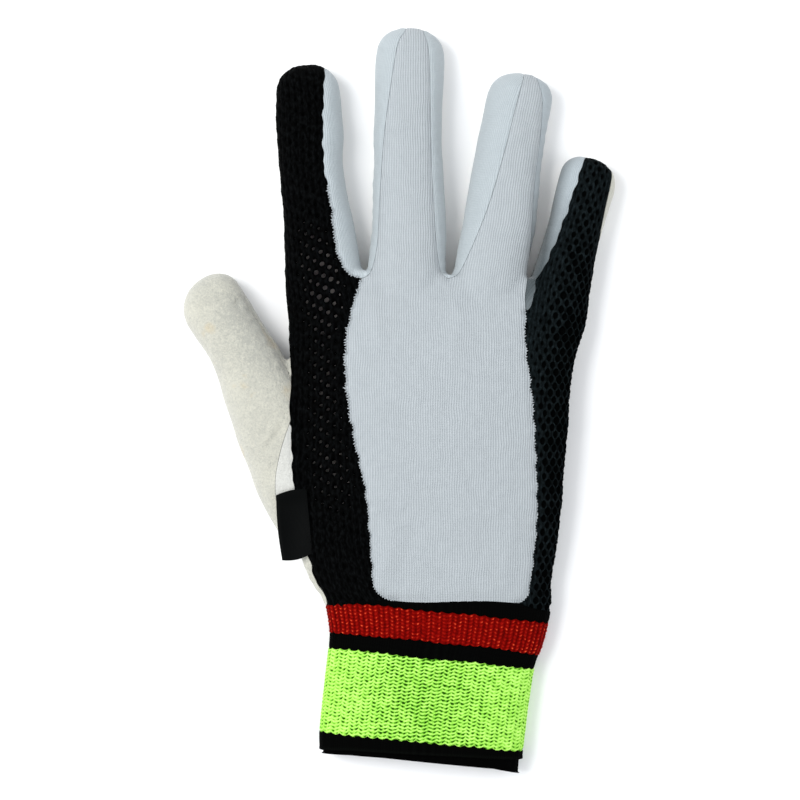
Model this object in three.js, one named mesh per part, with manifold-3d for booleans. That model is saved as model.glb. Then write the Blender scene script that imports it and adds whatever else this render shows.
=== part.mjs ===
// Wicketkeeping inner glove for the right hand, lying palm down with its back up.
// Units are millimetres. +X points to the little finger side, +Y to the fingertips
// and +Z up. The glove rests on the plane z = 0.
//
// The hand, the four fingers and the thumb are lofted through short tables of
// sections. The same lofts, drawn smaller by one wall, are cut out of them, which
// leaves a hollow glove open at the wrist. The seams seen from above then divide
// the wall into the panels that are sewn together.

import * as THREE from 'three';
import { mergeVertices } from 'three/addons/utils/BufferGeometryUtils.js';
import Module from 'manifold-3d';

// Driving dimensions
const WALL = 1.3; // knit, mesh and leather panels
const CUFF_WALL = 2.1; // knitted tube of the cuff
const GAP = 0.3; // clearance at every seam
const PALM_SEAM_HEIGHT = 3.2; // where the palm leather meets the back of the glove
const TOP = 40; // height of the seam prisms, above every surface
const HAND_FACETS = { upper: 11, lower: 2 }; // facets over the back and down each side
const FINGER_FACETS = { upper: 8, lower: 2 };
const CROWN = 0.42; // height of the widest line of a section, as a share of its height
const SINK = 0.3; // share of the height that the flattened underside loses
const SQUARENESS = 0.86; // below 1 gives a section fuller shoulders than an ellipse
const STEEPEST_CONTACT = 0.97; // sine of the lowest angle at which a side may meet the floor
const SEAM_STEP = 5.5; // spacing of the points along a seam
const WRIST_OVERLAP = 0.8; // how far the hand's hollow runs on into the cuff's
const MOUTH_CLEARANCE = 6; // how far the cuff's hollow runs past each of its ends

// Sections of the hand from the wrist to the finger roots: the left and the right
// edge of the glove seen from above, and the height of the back over the floor.
const HAND = [
  { leftX: -25.2, leftY: -65.0, rightX: 49.4, rightY: -69.2, height: 16.5 },
  { leftX: -26.6, leftY: -62.0, rightX: 49.2, rightY: -65.5, height: 17.5 },
  { leftX: -30.6, leftY: -55.2, rightX: 49.6, rightY: -57.5, height: 18.5 },
  { leftX: -33.9, leftY: -46.0, rightX: 51.2, rightY: -47.5, height: 19.5 },
  { leftX: -35.6, leftY: -30.0, rightX: 53.1, rightY: -31.0, height: 21.0 },
  { leftX: -35.4, leftY: -13.0, rightX: 54.3, rightY: -14.3, height: 22.0 },
  { leftX: -35.6, leftY: 4.0, rightX: 55.6, rightY: 2.0, height: 22.0 },
  { leftX: -36.0, leftY: 20.0, rightX: 58.2, rightY: 14.5, height: 20.5 },
  { leftX: -37.0, leftY: 32.0, rightX: 61.0, rightY: 27.0, height: 18.0 },
  { leftX: -37.4, leftY: 44.2, rightX: 62.6, rightY: 41.4, height: 13.6 },
];

// Sections of each finger from inside the hand to where its tip starts to close,
// and then the tip itself, which is rounded by formula.
const FINGERS = {
  index: {
    sections: [
      { x: -22.4, y: 22.8, width: 26.0, height: 16.5 },
      { x: -24.4, y: 35.8, width: 25.6, height: 16.0 },
      { x: -25.3, y: 46.1, width: 24.4, height: 15.6 },
      { x: -26.5, y: 56.6, width: 22.9, height: 15.2 },
      { x: -27.9, y: 67.0, width: 21.2, height: 14.8 },
      { x: -28.9, y: 77.4, width: 20.4, height: 14.4 },
      { x: -29.1, y: 88.4, width: 21.2, height: 14.0 },
      { x: -29.6, y: 98.6, width: 20.2, height: 13.2 },
    ],
    tip: { x: -30.4, y: 108.4 },
  },
  middle: {
    sections: [
      { x: 1.6, y: 22.8, width: 26.0, height: 17.5 },
      { x: 2.2, y: 35.8, width: 26.4, height: 17.0 },
      { x: 2.7, y: 47.5, width: 25.6, height: 16.4 },
      { x: 3.1, y: 56.6, width: 24.0, height: 16.0 },
      { x: 2.8, y: 68.0, width: 23.4, height: 15.6 },
      { x: 2.6, y: 82.0, width: 22.2, height: 15.2 },
      { x: 2.8, y: 98.2, width: 22.4, height: 14.8 },
      { x: 3.3, y: 111.5, width: 22.6, height: 14.0 },
    ],
    tip: { x: 3.8, y: 121.2 },
  },
  ring: {
    sections: [
      { x: 25.7, y: 19.5, width: 26.0, height: 17.0 },
      { x: 27.6, y: 32.5, width: 26.2, height: 16.5 },
      { x: 30.2, y: 46.1, width: 25.0, height: 15.9 },
      { x: 32.3, y: 56.6, width: 23.8, height: 15.5 },
      { x: 33.7, y: 67.0, width: 23.2, height: 15.1 },
      { x: 35.2, y: 77.4, width: 22.2, height: 14.7 },
      { x: 37.0, y: 88.2, width: 21.4, height: 14.3 },
      { x: 38.9, y: 97.4, width: 21.6, height: 13.5 },
    ],
    tip: { x: 41.0, y: 106.3 },
  },
  little: {
    sections: [
      { x: 49.1, y: 20.8, width: 20.6, height: 15.5 },
      { x: 51.4, y: 34.5, width: 20.6, height: 15.0 },
      { x: 53.8, y: 44.8, width: 19.4, height: 14.5 },
      { x: 56.0, y: 53.2, width: 18.0, height: 14.1 },
      { x: 58.2, y: 61.4, width: 17.6, height: 13.7 },
      { x: 60.7, y: 70.4, width: 18.2, height: 13.0 },
    ],
    tip: { x: 62.6, y: 79.0 },
  },
};

const THUMB = {
  sections: [
    { x: -25.0, y: -49.5, width: 16.0, height: 12.5 },
    { x: -29.2, y: -40.6, width: 23.0, height: 14.5 },
    { x: -33.4, y: -29.6, width: 26.0, height: 16.0 },
    { x: -37.4, y: -17.4, width: 25.8, height: 17.0 },
    { x: -41.4, y: -6.6, width: 24.6, height: 17.0 },
    { x: -44.8, y: 2.6, width: 23.0, height: 16.6 },
    { x: -48.2, y: 10.6, width: 21.4, height: 16.0 },
    { x: -52.6, y: 18.4, width: 20.4, height: 15.4 },
    { x: -56.5, y: 25.0, width: 20.8, height: 14.8 },
    { x: -59.3, y: 30.6, width: 20.8, height: 13.8 },
  ],
  tip: { x: -63.2, y: 40.4 },
};
const TIP_ROUNDING = [0.42, 0.72, 0.9, 0.985]; // places of the rings that close a tip
const TIP_POWER = 2.3; // 2 is a round tip, more is a blunter one

// Sections of the flattened cuff tube from the wrist to its open end
const CUFF = [
  { leftX: -25.4, leftY: -62.5, rightX: 49.0, rightY: -66.5, height: 16.6 },
  { leftX: -24.2, leftY: -67.0, rightX: 49.2, rightY: -71.6, height: 16.0 },
  { leftX: -23.0, leftY: -74.0, rightX: 46.8, rightY: -80.0, height: 15.4 },
  { leftX: -23.2, leftY: -80.4, rightX: 44.6, rightY: -86.6, height: 15.0 },
  { leftX: -24.4, leftY: -92.0, rightX: 42.6, rightY: -98.4, height: 15.0 },
  { leftX: -26.0, leftY: -106.0, rightX: 40.8, rightY: -112.2, height: 15.2 },
  { leftX: -25.8, leftY: -114.2, rightX: 39.0, rightY: -121.2, height: 15.2 },
];

// Heights on the left and right edge of the lines where the cuff's yarn changes
const CUFF_LEFT_X = -34;
const CUFF_RIGHT_X = 60;
const CUFF_LINES = {
  redTop: { leftY: -66.1, rightY: -74.1 },
  redBottom: { leftY: -75.9, rightY: -85.2 },
  limeTop: { leftY: -80.8, rightY: -89.8 },
  limeBottom: { leftY: -107.6, rightY: -116.0 },
  mouth: { leftY: -117.0, rightY: -126.0 },
};

// Seams seen from above, each a smooth curve through its points
const SEAMS = {
  indexInner: [[-24.4, 113.8], [-24.6, 104.0], [-25.0, 90.0], [-24.6, 76.0], [-22.1, 61.1], [-20.9, 50.7],
    [-18.8, 43.9], [-12.7, 39.3]],
  middleLeft: [[1.6, 126.0], [2.0, 120.6], [-0.8, 115.0], [-3.4, 99.0], [-5.4, 83.0], [-6.6, 64.0],
    [-7.6, 51.0], [-9.4, 43.6], [-12.7, 39.3]],
  middleRight: [[7.4, 126.0], [7.4, 120.6], [9.3, 113.0], [9.7, 98.0], [10.2, 76.0], [11.3, 57.0],
    [12.7, 45.6], [15.6, 39.3]],
  ringLeft: [[41.2, 111.0], [40.2, 105.0], [37.4, 94.6], [33.6, 79.6], [28.9, 63.7], [24.2, 51.6],
    [19.8, 43.0], [15.6, 39.3]],
  ringRight: [[43.6, 111.0], [44.4, 105.0], [46.2, 97.0], [45.4, 84.0], [43.6, 69.0], [42.0, 53.0],
    [40.6, 40.6], [40.6, 28.6]],
  littleLeft: [[62.4, 83.0], [60.3, 79.0], [57.4, 70.8], [53.6, 59.4], [49.0, 47.0], [45.0, 36.3],
    [40.6, 28.6]],
  whiteLeft: [[-12.7, 39.3], [-15.6, 29.0], [-17.5, 18.0], [-17.3, 4.0], [-14.6, -13.0], [-11.0, -30.0],
    [-9.4, -48.8], [-8.4, -60.5], [-5.4, -64.2], [-1.3, -65.5]],
  whiteRight: [[40.6, 28.6], [40.4, 18.0], [42.6, 0.0], [43.8, -20.0], [44.2, -38.0], [42.8, -54.0],
    [41.2, -63.5], [38.6, -66.2]],
  wristLeft: [[-40.0, -64.0], [-25.0, -64.4], [-12.0, -65.2], [-1.3, -65.5]],
  wristBack: [[-1.3, -65.5], [18.0, -66.0], [38.6, -66.2]],
  wristRight: [[38.6, -66.2], [43.0, -68.2], [49.4, -69.4], [66.0, -71.0]],
  thumbSide: [[-47.0, 50.0], [-42.0, 36.0], [-39.2, 24.0], [-37.0, 14.0], [-36.0, 6.0], [-36.0, -6.5]],
  meshEdge: [[-36.0, -6.5], [-34.9, -16.0], [-34.3, -28.5], [-32.0, -41.0], [-29.6, -51.0], [-27.8, -57.5],
    [-25.2, -62.4], [-24.0, -64.5]],
  thumbPalm: [[-36.0, -6.5], [-38.6, -16.0], [-39.8, -25.0], [-42.6, -32.8], [-56.0, -40.0]],
  thumbSeam: [[-58.2, 44.0], [-53.6, 34.6], [-45.0, 23.2], [-38.6, 13.2], [-35.7, 5.0]],
  littleTip: [[64.6, 84.0], [67.4, 78.7], [68.7, 73.4], [67.6, 66.0], [65.3, 57.0], [65.0, 50.0], [70.2, 46.0]],
};

// Beside the wrist the palm leather wraps higher up the thumb side
const WRIST_TUCK = { outline: [[-50, -49], [-20, -49], [-20, -66], [-50, -66]], height: 7.6 };

// Woven label: a folded tab caught in the edge seam of the thumb side mesh
const LABEL_THICKNESS = 1.1;
const LABEL_OUTLINE = [[-30.6, -28.6], [-40.0, -30.7], [-39.2, -44.6], [-38.1, -51.9], [-33.6, -51.4], [-27.8, -49.4]];
const LABEL_CORNER = { x: -34.3, y: -28.5, height: 16.2 }; // where its underside leaves the seam
const LABEL_SLOPE = { x: 0.08, y: 0.19 }; // rise of the tab for each millimetre along x and y

const COLOURS = {
  whiteKnit: { color: 0xcdd6dc, roughness: 0.85 },
  fourchetteKnit: { color: 0xb9c6cb, roughness: 0.85 },
  blackMesh: { color: 0x11171a, roughness: 0.75 },
  leather: { color: 0xdedccf, roughness: 0.8 },
  redYarn: { color: 0xb8180c, roughness: 0.9 },
  limeYarn: { color: 0xaaff50, roughness: 0.9 },
  blackYarn: { color: 0x070907, roughness: 0.9 },
  satin: { color: 0x14181a, roughness: 0.4 },
};

const wasm = await Module();
wasm.setup();

function toSolid(geometry) {
  geometry.deleteAttribute('normal');
  geometry.deleteAttribute('uv');
  const merged = mergeVertices(geometry, 1e-4);
  const vertProperties = new Float32Array(merged.attributes.position.array);
  const triVerts = new Uint32Array(merged.index.array);
  return new wasm.Manifold(new wasm.Mesh({ numProp: 3, vertProperties, triVerts }));
}

function toGeometry(solid) {
  const mesh = solid.getMesh();
  const geometry = new THREE.BufferGeometry();
  geometry.setAttribute('position', new THREE.BufferAttribute(new Float32Array(mesh.vertProperties), 3));
  geometry.setIndex(new THREE.BufferAttribute(new Uint32Array(mesh.triVerts), 1));
  geometry.computeVertexNormals();
  return geometry;
}

const signedPower = (value, power) => Math.sign(value) * Math.abs(value) ** power;

// Points round one section, from the floor on its right over the top to the floor on
// its left. The underside between the two is one flat facet.
function ring(section, inset, facets) {
  const { centre, across, halfWidth, height, closing } = section;
  const half = (halfWidth - inset) * closing;
  const crown = height * CROWN;
  const rise = (height - inset - crown) * closing;
  const drop = (crown + height * SINK - inset) * closing;
  const contact = Math.asin(Math.min(STEEPEST_CONTACT, (crown - inset) / drop));
  const angles = [];
  for (let step = 0; step < facets.lower; step += 1) angles.push(-contact * (1 - step / facets.lower));
  for (let step = 0; step < facets.upper; step += 1) angles.push((Math.PI * step) / facets.upper);
  for (let step = 0; step <= facets.lower; step += 1) angles.push(Math.PI + (contact * step) / facets.lower);
  return angles.map((angle) => {
    const sideways = half * signedPower(Math.cos(angle), SQUARENESS);
    const climb = Math.sin(angle);
    const z = crown + (climb > 0 ? rise : drop) * climb;
    return [centre.x + across.x * sideways, centre.y + across.y * sideways, z];
  });
}

// Closed tube through rings that run in order along it
function loft(rings) {
  const positions = [];
  const triangle = (a, b, c) => positions.push(...a, ...b, ...c);
  const sides = rings[0].length;
  for (let step = 0; step + 1 < rings.length; step += 1) {
    for (let side = 0; side < sides; side += 1) {
      const next = (side + 1) % sides;
      triangle(rings[step][side], rings[step + 1][side], rings[step][next]);
      triangle(rings[step][next], rings[step + 1][side], rings[step + 1][next]);
    }
  }
  const middleOf = (points) => [0, 1, 2].map((axis) =>
    points.reduce((sum, point) => sum + point[axis], 0) / points.length);
  const first = rings[0];
  const last = rings[rings.length - 1];
  for (let side = 0; side < sides; side += 1) {
    const next = (side + 1) % sides;
    triangle(middleOf(first), first[side], first[next]);
    triangle(middleOf(last), last[next], last[side]);
  }
  const geometry = new THREE.BufferGeometry();
  geometry.setAttribute('position', new THREE.BufferAttribute(new Float32Array(positions), 3));
  return toSolid(geometry);
}

// Sections given by a left and a right edge
function edgeSections(rows) {
  return rows.map((row) => {
    const left = new THREE.Vector2(row.leftX, row.leftY);
    const right = new THREE.Vector2(row.rightX, row.rightY);
    return {
      centre: left.clone().add(right).multiplyScalar(0.5),
      across: right.clone().sub(left).normalize(),
      halfWidth: right.distanceTo(left) / 2,
      height: row.height,
      closing: 1,
    };
  });
}

// Sections of a finger: square to its centre line, then closing to the tip
function fingerSections(finger, inset) {
  const places = [...finger.sections, finger.tip].map((row) => new THREE.Vector2(row.x, row.y));
  const acrossAt = (index) => {
    const before = places[Math.max(index - 1, 0)];
    const after = places[Math.min(index + 1, places.length - 1)];
    const along = after.clone().sub(before).normalize();
    return new THREE.Vector2(along.y, -along.x);
  };
  const sections = finger.sections.map((row, index) => ({
    centre: places[index],
    across: acrossAt(index),
    halfWidth: row.width / 2,
    height: row.height,
    closing: 1,
  }));
  const last = sections[sections.length - 1];
  const reach = places[places.length - 1].clone().sub(last.centre);
  reach.setLength(reach.length() - inset);
  for (const share of TIP_ROUNDING) {
    const closing = (1 - share ** TIP_POWER) ** (1 / TIP_POWER);
    sections.push({ ...last, centre: last.centre.clone().addScaledVector(reach, share), closing });
  }
  return sections;
}

// A row that continues the edges of two others past an open end
function pastEnd(from, to, distance) {
  const centreOf = (row) => new THREE.Vector2((row.leftX + row.rightX) / 2, (row.leftY + row.rightY) / 2);
  const along = centreOf(to).sub(centreOf(from)).setLength(distance);
  return {
    ...to,
    leftX: to.leftX + along.x,
    leftY: to.leftY + along.y,
    rightX: to.rightX + along.x,
    rightY: to.rightY + along.y,
  };
}

// The glove drawn smaller by inset all round. The inner one runs out at the wrist.
function gloveVolume(inset, openWrist) {
  const rows = openWrist ? [pastEnd(HAND[1], HAND[0], WRIST_OVERLAP), ...HAND] : [...HAND];
  const knuckles = { ...rows[rows.length - 1] };
  knuckles.leftY -= inset;
  knuckles.rightY -= inset;
  rows[rows.length - 1] = knuckles;
  const rings = edgeSections(rows).map((section) => ring(section, inset, HAND_FACETS));
  let volume = loft(rings);
  for (const finger of [...Object.values(FINGERS), THUMB]) {
    volume = volume.add(loft(fingerSections(finger, inset).map((section) => ring(section, inset, FINGER_FACETS))));
  }
  return volume;
}

function cuffVolume(inset, openEnds) {
  const rows = [...CUFF];
  if (openEnds) {
    rows.unshift(pastEnd(CUFF[1], CUFF[0], MOUTH_CLEARANCE));
    rows.push(pastEnd(CUFF.at(-2), CUFF.at(-1), MOUTH_CLEARANCE));
  }
  return loft(edgeSections(rows.reverse()).map((section) => ring(section, inset, HAND_FACETS)));
}

// Points along a smooth seam, evenly spaced
function seam(name) {
  const curve = new THREE.SplineCurve(SEAMS[name].map(([x, y]) => new THREE.Vector2(x, y)));
  return curve.getSpacedPoints(Math.max(2, Math.round(curve.getLength() / SEAM_STEP)));
}

// Moves a closed outline outwards by an amount, or inwards where it is negative
function offsetOutline(outline, amount) {
  const clockwise = THREE.ShapeUtils.isClockWise(outline);
  const count = outline.length;
  return outline.map((point, index) => {
    const before = point.clone().sub(outline[(index + count - 1) % count]).normalize();
    const after = outline[(index + 1) % count].clone().sub(point).normalize();
    const bisector = before.add(after).normalize();
    const outward = clockwise
      ? new THREE.Vector2(-bisector.y, bisector.x)
      : new THREE.Vector2(bisector.y, -bisector.x);
    const slant = Math.max(0.35, Math.abs(outward.x * after.y - outward.y * after.x));
    return point.clone().addScaledVector(outward, amount / slant);
  });
}

// Upright prism over an outline, from one height up to another
function prism(outline, bottom, top) {
  const geometry = new THREE.ExtrudeGeometry(new THREE.Shape(outline), { depth: top - bottom, bevelEnabled: false });
  geometry.translate(0, 0, bottom);
  return toSolid(geometry);
}

// Joins seams end to end into one closed outline, leaving out repeated points
function outlineFrom(...runs) {
  const outline = [];
  for (const point of runs.flat()) {
    const previous = outline[outline.length - 1];
    if (!previous || previous.distanceTo(point) > 0.05) outline.push(point);
  }
  if (outline[0].distanceTo(outline[outline.length - 1]) < 0.05) outline.pop();
  return outline;
}

const corner = (x, y) => [new THREE.Vector2(x, y)];
const reversed = (points) => [...points].reverse();

const below = (points, y) => points.filter((point) => point.y < y);
const above = (points, y) => points.filter((point) => point.y > y);

// Outlines of the panels of the back, seen from above
const MESH_END = seam('meshEdge').at(-1).x;
const BACK_OUTLINES = {
  back_panel: outlineFrom(
    reversed(seam('middleLeft')), seam('middleRight'), reversed(seam('ringLeft')), seam('ringRight'),
    seam('whiteRight'), reversed(seam('wristBack')), reversed(seam('whiteLeft')),
  ),
  fourchette_index_middle: outlineFrom(seam('indexInner'), reversed(seam('middleLeft')), corner(-14, 126)),
  fourchette_middle_ring: outlineFrom(seam('middleRight'), reversed(seam('ringLeft')), corner(30, 126)),
  fourchette_ring_little: outlineFrom(seam('ringRight'), reversed(seam('littleLeft')), corner(56, 112)),
  index_mesh_panel: outlineFrom(
    reversed(seam('indexInner')), corner(-47, 118), seam('thumbSide'), seam('meshEdge'),
    seam('wristLeft').filter((point) => point.x > MESH_END), reversed(seam('whiteLeft')),
  ),
  little_mesh_panel: outlineFrom(
    reversed(seam('littleLeft')), seam('littleTip'), corner(78, 30), corner(78, -71),
    reversed(seam('wristRight')), reversed(seam('whiteRight')),
  ),
  thumb_gusset: outlineFrom(
    above(seam('thumbPalm'), LABEL_OUTLINE[1][1] + 2), reversed(above(seam('meshEdge'), LABEL_OUTLINE[0][1])),
  ),
  thumb_back_panel: outlineFrom(
    seam('thumbSeam'), below(seam('thumbSide'), 4), seam('thumbPalm'), corner(-90, -40), corner(-90, 60),
    corner(-62, 60),
  ),
};
const THUMB_OUTLINE = outlineFrom(
  seam('thumbSide'), seam('thumbPalm'), corner(-90, -40), corner(-90, 60), corner(-47, 60),
);

// Outline of the stretch of the cuff between two lines across it
function bandOutline(upper, lower) {
  return outlineFrom(upper, corner(CUFF_RIGHT_X, lower.rightY), corner(CUFF_LEFT_X, lower.leftY));
}
const lineAcross = ({ leftY, rightY }) => [...corner(CUFF_LEFT_X, leftY), ...corner(CUFF_RIGHT_X, rightY)];
const WRIST_LINE = outlineFrom(seam('wristLeft'), seam('wristBack'), seam('wristRight'));
const CUFF_OUTLINES = {
  cuff_join_band: bandOutline(WRIST_LINE, CUFF_LINES.redTop),
  cuff_red_band: bandOutline(lineAcross(CUFF_LINES.redTop), CUFF_LINES.redBottom),
  cuff_black_band: bandOutline(lineAcross(CUFF_LINES.redBottom), CUFF_LINES.limeTop),
  cuff_lime_band: bandOutline(lineAcross(CUFF_LINES.limeTop), CUFF_LINES.limeBottom),
  cuff_hem: bandOutline(lineAcross(CUFF_LINES.limeBottom), CUFF_LINES.mouth),
};

const glove = gloveVolume(0, false).add(cuffVolume(0, false));
const hollow = gloveVolume(WALL, true).add(cuffVolume(CUFF_WALL, true));
const wall = glove.subtract(hollow);

const FLOOR = -1;

// The space over a seam outline, from a height up. A negative margin keeps a panel
// clear of the seam, and a positive one cuts its neighbour back from it.
function seamSpace(outline, bottom, margin) {
  return prism(offsetOutline(outline, margin), bottom - margin, TOP);
}

function backSpace(name, margin) {
  const space = seamSpace(BACK_OUTLINES[name], PALM_SEAM_HEIGHT, margin);
  const tuck = offsetOutline(WRIST_TUCK.outline.map(([x, y]) => new THREE.Vector2(x, y)), -margin);
  return space.subtract(prism(tuck, FLOOR, WRIST_TUCK.height - margin));
}

// A seam that runs along the turn of the wall can leave a sliver, which is dropped
function largestPiece(solid) {
  return solid.decompose().reduce((best, piece) => (piece.volume() > best.volume() ? piece : best));
}

function makeLabel() {
  const outline = LABEL_OUTLINE.map(([x, y]) => new THREE.Vector2(x, y));
  const geometry = new THREE.ExtrudeGeometry(new THREE.Shape(outline), { depth: LABEL_THICKNESS, bevelEnabled: false });
  const position = geometry.attributes.position;
  for (let index = 0; index < position.count; index += 1) {
    const rise = LABEL_SLOPE.x * (position.getX(index) - LABEL_CORNER.x)
      + LABEL_SLOPE.y * (position.getY(index) - LABEL_CORNER.y);
    position.setZ(index, position.getZ(index) + LABEL_CORNER.height + rise);
  }
  return largestPiece(toSolid(geometry).subtract(gloveVolume(-GAP, false)));
}

const panels = {};
let palm = wall;
for (const name of Object.keys(BACK_OUTLINES)) {
  panels[name] = wall.intersect(backSpace(name, -GAP / 2));
  palm = palm.subtract(backSpace(name, GAP / 2));
}
for (const [name, outline] of Object.entries(CUFF_OUTLINES)) {
  panels[name] = wall.intersect(seamSpace(outline, FLOOR, -GAP / 2));
  palm = palm.subtract(seamSpace(outline, FLOOR, GAP / 2));
}
panels.thumb_palm_panel = wall.intersect(seamSpace(THUMB_OUTLINE, FLOOR, -GAP / 2))
  .subtract(backSpace('thumb_back_panel', GAP / 2));
panels.palm_panel = palm.subtract(seamSpace(THUMB_OUTLINE, FLOOR, GAP / 2));
panels.side_label = makeLabel();

const NODE_COLOURS = {
  back_panel: COLOURS.whiteKnit,
  fourchette_index_middle: COLOURS.fourchetteKnit,
  fourchette_middle_ring: COLOURS.fourchetteKnit,
  fourchette_ring_little: COLOURS.fourchetteKnit,
  index_mesh_panel: COLOURS.blackMesh,
  little_mesh_panel: COLOURS.blackMesh,
  thumb_back_panel: COLOURS.leather,
  thumb_palm_panel: COLOURS.leather,
  thumb_gusset: COLOURS.leather,
  palm_panel: COLOURS.leather,
  cuff_join_band: COLOURS.blackYarn,
  cuff_red_band: COLOURS.redYarn,
  cuff_black_band: COLOURS.blackYarn,
  cuff_lime_band: COLOURS.limeYarn,
  cuff_hem: COLOURS.blackYarn,
  side_label: COLOURS.satin,
};

const innerGlove = new THREE.Group();
for (const [name, colour] of Object.entries(NODE_COLOURS)) {
  const material = new THREE.MeshStandardMaterial({ ...colour, metalness: 0 });
  const mesh = new THREE.Mesh(toGeometry(largestPiece(panels[name])), material);
  mesh.name = name;
  innerGlove.add(mesh);
}

export default innerGlove;
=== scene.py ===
# %% [markdown]
# # A wicketkeeping inner glove
# A wicketkeeper wears a thin glove of jersey and mesh under the big padded one. It soaks up
# sweat, and its soft leather palm saves the skin. This one is for the right hand. It lies palm
# down on a pale table and is seen from straight above.
#
# The measured model gives every panel its place and size. Here each plain panel is replaced by a
# piece that looks like its cloth: knitted, pierced or napped, with rolled edges at the seams.

# %% Load the measured model
import math

import bpy
import numpy as np
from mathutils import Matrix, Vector
from mathutils.bvhtree import BVHTree


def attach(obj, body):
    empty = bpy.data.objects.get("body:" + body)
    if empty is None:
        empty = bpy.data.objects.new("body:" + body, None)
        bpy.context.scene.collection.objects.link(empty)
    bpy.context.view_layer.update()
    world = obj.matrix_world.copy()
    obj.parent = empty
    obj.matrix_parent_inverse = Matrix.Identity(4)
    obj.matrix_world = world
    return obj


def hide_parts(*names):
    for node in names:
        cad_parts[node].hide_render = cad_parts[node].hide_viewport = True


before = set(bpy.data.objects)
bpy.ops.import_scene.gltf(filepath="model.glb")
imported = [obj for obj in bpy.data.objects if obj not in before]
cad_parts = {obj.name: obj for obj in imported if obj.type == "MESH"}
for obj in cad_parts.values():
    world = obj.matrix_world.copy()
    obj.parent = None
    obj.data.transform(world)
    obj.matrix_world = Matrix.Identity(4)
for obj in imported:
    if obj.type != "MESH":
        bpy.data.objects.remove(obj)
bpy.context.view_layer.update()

MM = 0.001
scene = bpy.context.scene
bpy.ops.object.select_all(action="DESELECT")

# %% [markdown]
# ## Nodes of a material
# Every material is a small tree of nodes. One small function adds a node with its settings and
# its links, and another turns a colour as picked on screen into the values that a shader reads.

# %% Nodes of a material


def srgb(hex_colour):
    """A hex colour as picked on screen, turned to the linear values that the shader reads."""
    parts = [int(hex_colour[i:i + 2], 16) / 255 for i in (1, 3, 5)]
    linear = [p / 12.92 if p <= 0.04045 else ((p + 0.055) / 1.055) ** 2.4 for p in parts]
    return (*linear, 1.0)


def add_node(tree, kind, settings=None, inputs=None):
    """Adds one node. inputs holds plain values, or sockets of other nodes to link from."""
    node = tree.nodes.new(kind)
    for name, value in (settings or {}).items():
        setattr(node, name, value)
    for name, value in (inputs or {}).items():
        if isinstance(value, bpy.types.NodeSocket):
            tree.links.new(value, node.inputs[name])
        else:
            node.inputs[name].default_value = value
    return node


def new_material(name):
    """An empty material with its output node, ready for a shader."""
    material = bpy.data.materials.new(name)
    material.use_nodes = True
    material.node_tree.nodes.clear()
    return material, material.node_tree


def finish_material(tree, shader):
    output = add_node(tree, "ShaderNodeOutputMaterial")
    tree.links.new(shader.outputs[0], output.inputs["Surface"])


print("white paper is drawn as", [round(v, 3) for v in srgb("#FAFAFA")[:3]], "in linear light")

# %% [markdown]
# ## Table, lamps and camera
# A product picture of a glove is taken from straight above on white paper, with one large soft
# lamp from the upper left, a weaker one on the right and a lot of light thrown back from all
# round. A long lens keeps the fingers from leaning outwards. The camera comes first, so that
# every later look is through it.

# %% Table, lamps and camera
FRAME_WIDTH = 260 * MM  # what the picture takes in, at the height of the glove
GLOVE_MIDDLE_HEIGHT = 10 * MM
LENS_MM = 120
SENSOR_MM = 36
TABLE_SIDE = 6.0
WORLD_LIGHT = 0.84


def make_paper():
    """Matt white paper, with a faint unevenness so that it isn't one flat colour."""
    material, tree = new_material("white_paper")
    place = add_node(tree, "ShaderNodeTexCoord")
    noise = add_node(tree, "ShaderNodeTexNoise", inputs={"Vector": place.outputs["Object"], "Scale": 3.0})
    tint = add_node(tree, "ShaderNodeMix", {"data_type": "RGBA"},
                    {"Factor": noise.outputs[0], "A": srgb("#F6F6F6"), "B": srgb("#FAFAFA")})
    shader = add_node(tree, "ShaderNodeBsdfPrincipled", inputs={"Base Color": tint.outputs["Result"],
                                                               "Roughness": 0.9})
    finish_material(tree, shader)
    return material


def add_lamp(name, place, aim, side, power):
    """A square softbox that faces the point aim."""
    bpy.ops.object.light_add(type="AREA", location=place)
    lamp = bpy.context.object
    lamp.name = name
    lamp.data.size = side
    lamp.data.energy = power
    lamp.rotation_euler = (Vector(aim) - Vector(place)).to_track_quat("-Z", "Y").to_euler()
    return lamp


bpy.ops.mesh.primitive_plane_add(size=TABLE_SIDE, location=(0, 0, 0))
table = bpy.context.object
table.name = "table_top"
table.data.materials.append(make_paper())

camera_data = bpy.data.cameras.new("camera_above")
camera_data.lens = LENS_MM
camera_data.sensor_width = SENSOR_MM
camera = bpy.data.objects.new("camera_above", camera_data)
scene.collection.objects.link(camera)
camera.location = (0, 0, GLOVE_MIDDLE_HEIGHT + FRAME_WIDTH * LENS_MM / SENSOR_MM)
scene.camera = camera

AIM = (0, 0, 0)
add_lamp("softbox_upper_left", (-0.75, 0.25, 1.0), AIM, 0.7, 13.4)
add_lamp("fill_right", (0.9, -0.3, 0.9), AIM, 0.9, 4.0)

world = bpy.data.worlds.new("white_studio")
world.use_nodes = True
world.node_tree.nodes["Background"].inputs["Color"].default_value = (0.93, 0.96, 1.0, 1.0)
world.node_tree.nodes["Background"].inputs["Strength"].default_value = WORLD_LIGHT
scene.world = world
scene.view_settings.view_transform = "Standard"
print("camera height, m:", round(camera.location.z, 3))

# %% [markdown]
# ## The form of the glove
# A glove is four cloth tubes and a thumb that run into a wide flat tube. It could be modelled by
# extruding a cage by hand, but the real sizes are known as sections, so the tubes are lofted
# through the same short tables as the measured model, drawn much finer. They are then melted into
# one skin with a voxel remesh, which gives the soft webs between the fingers.

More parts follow.
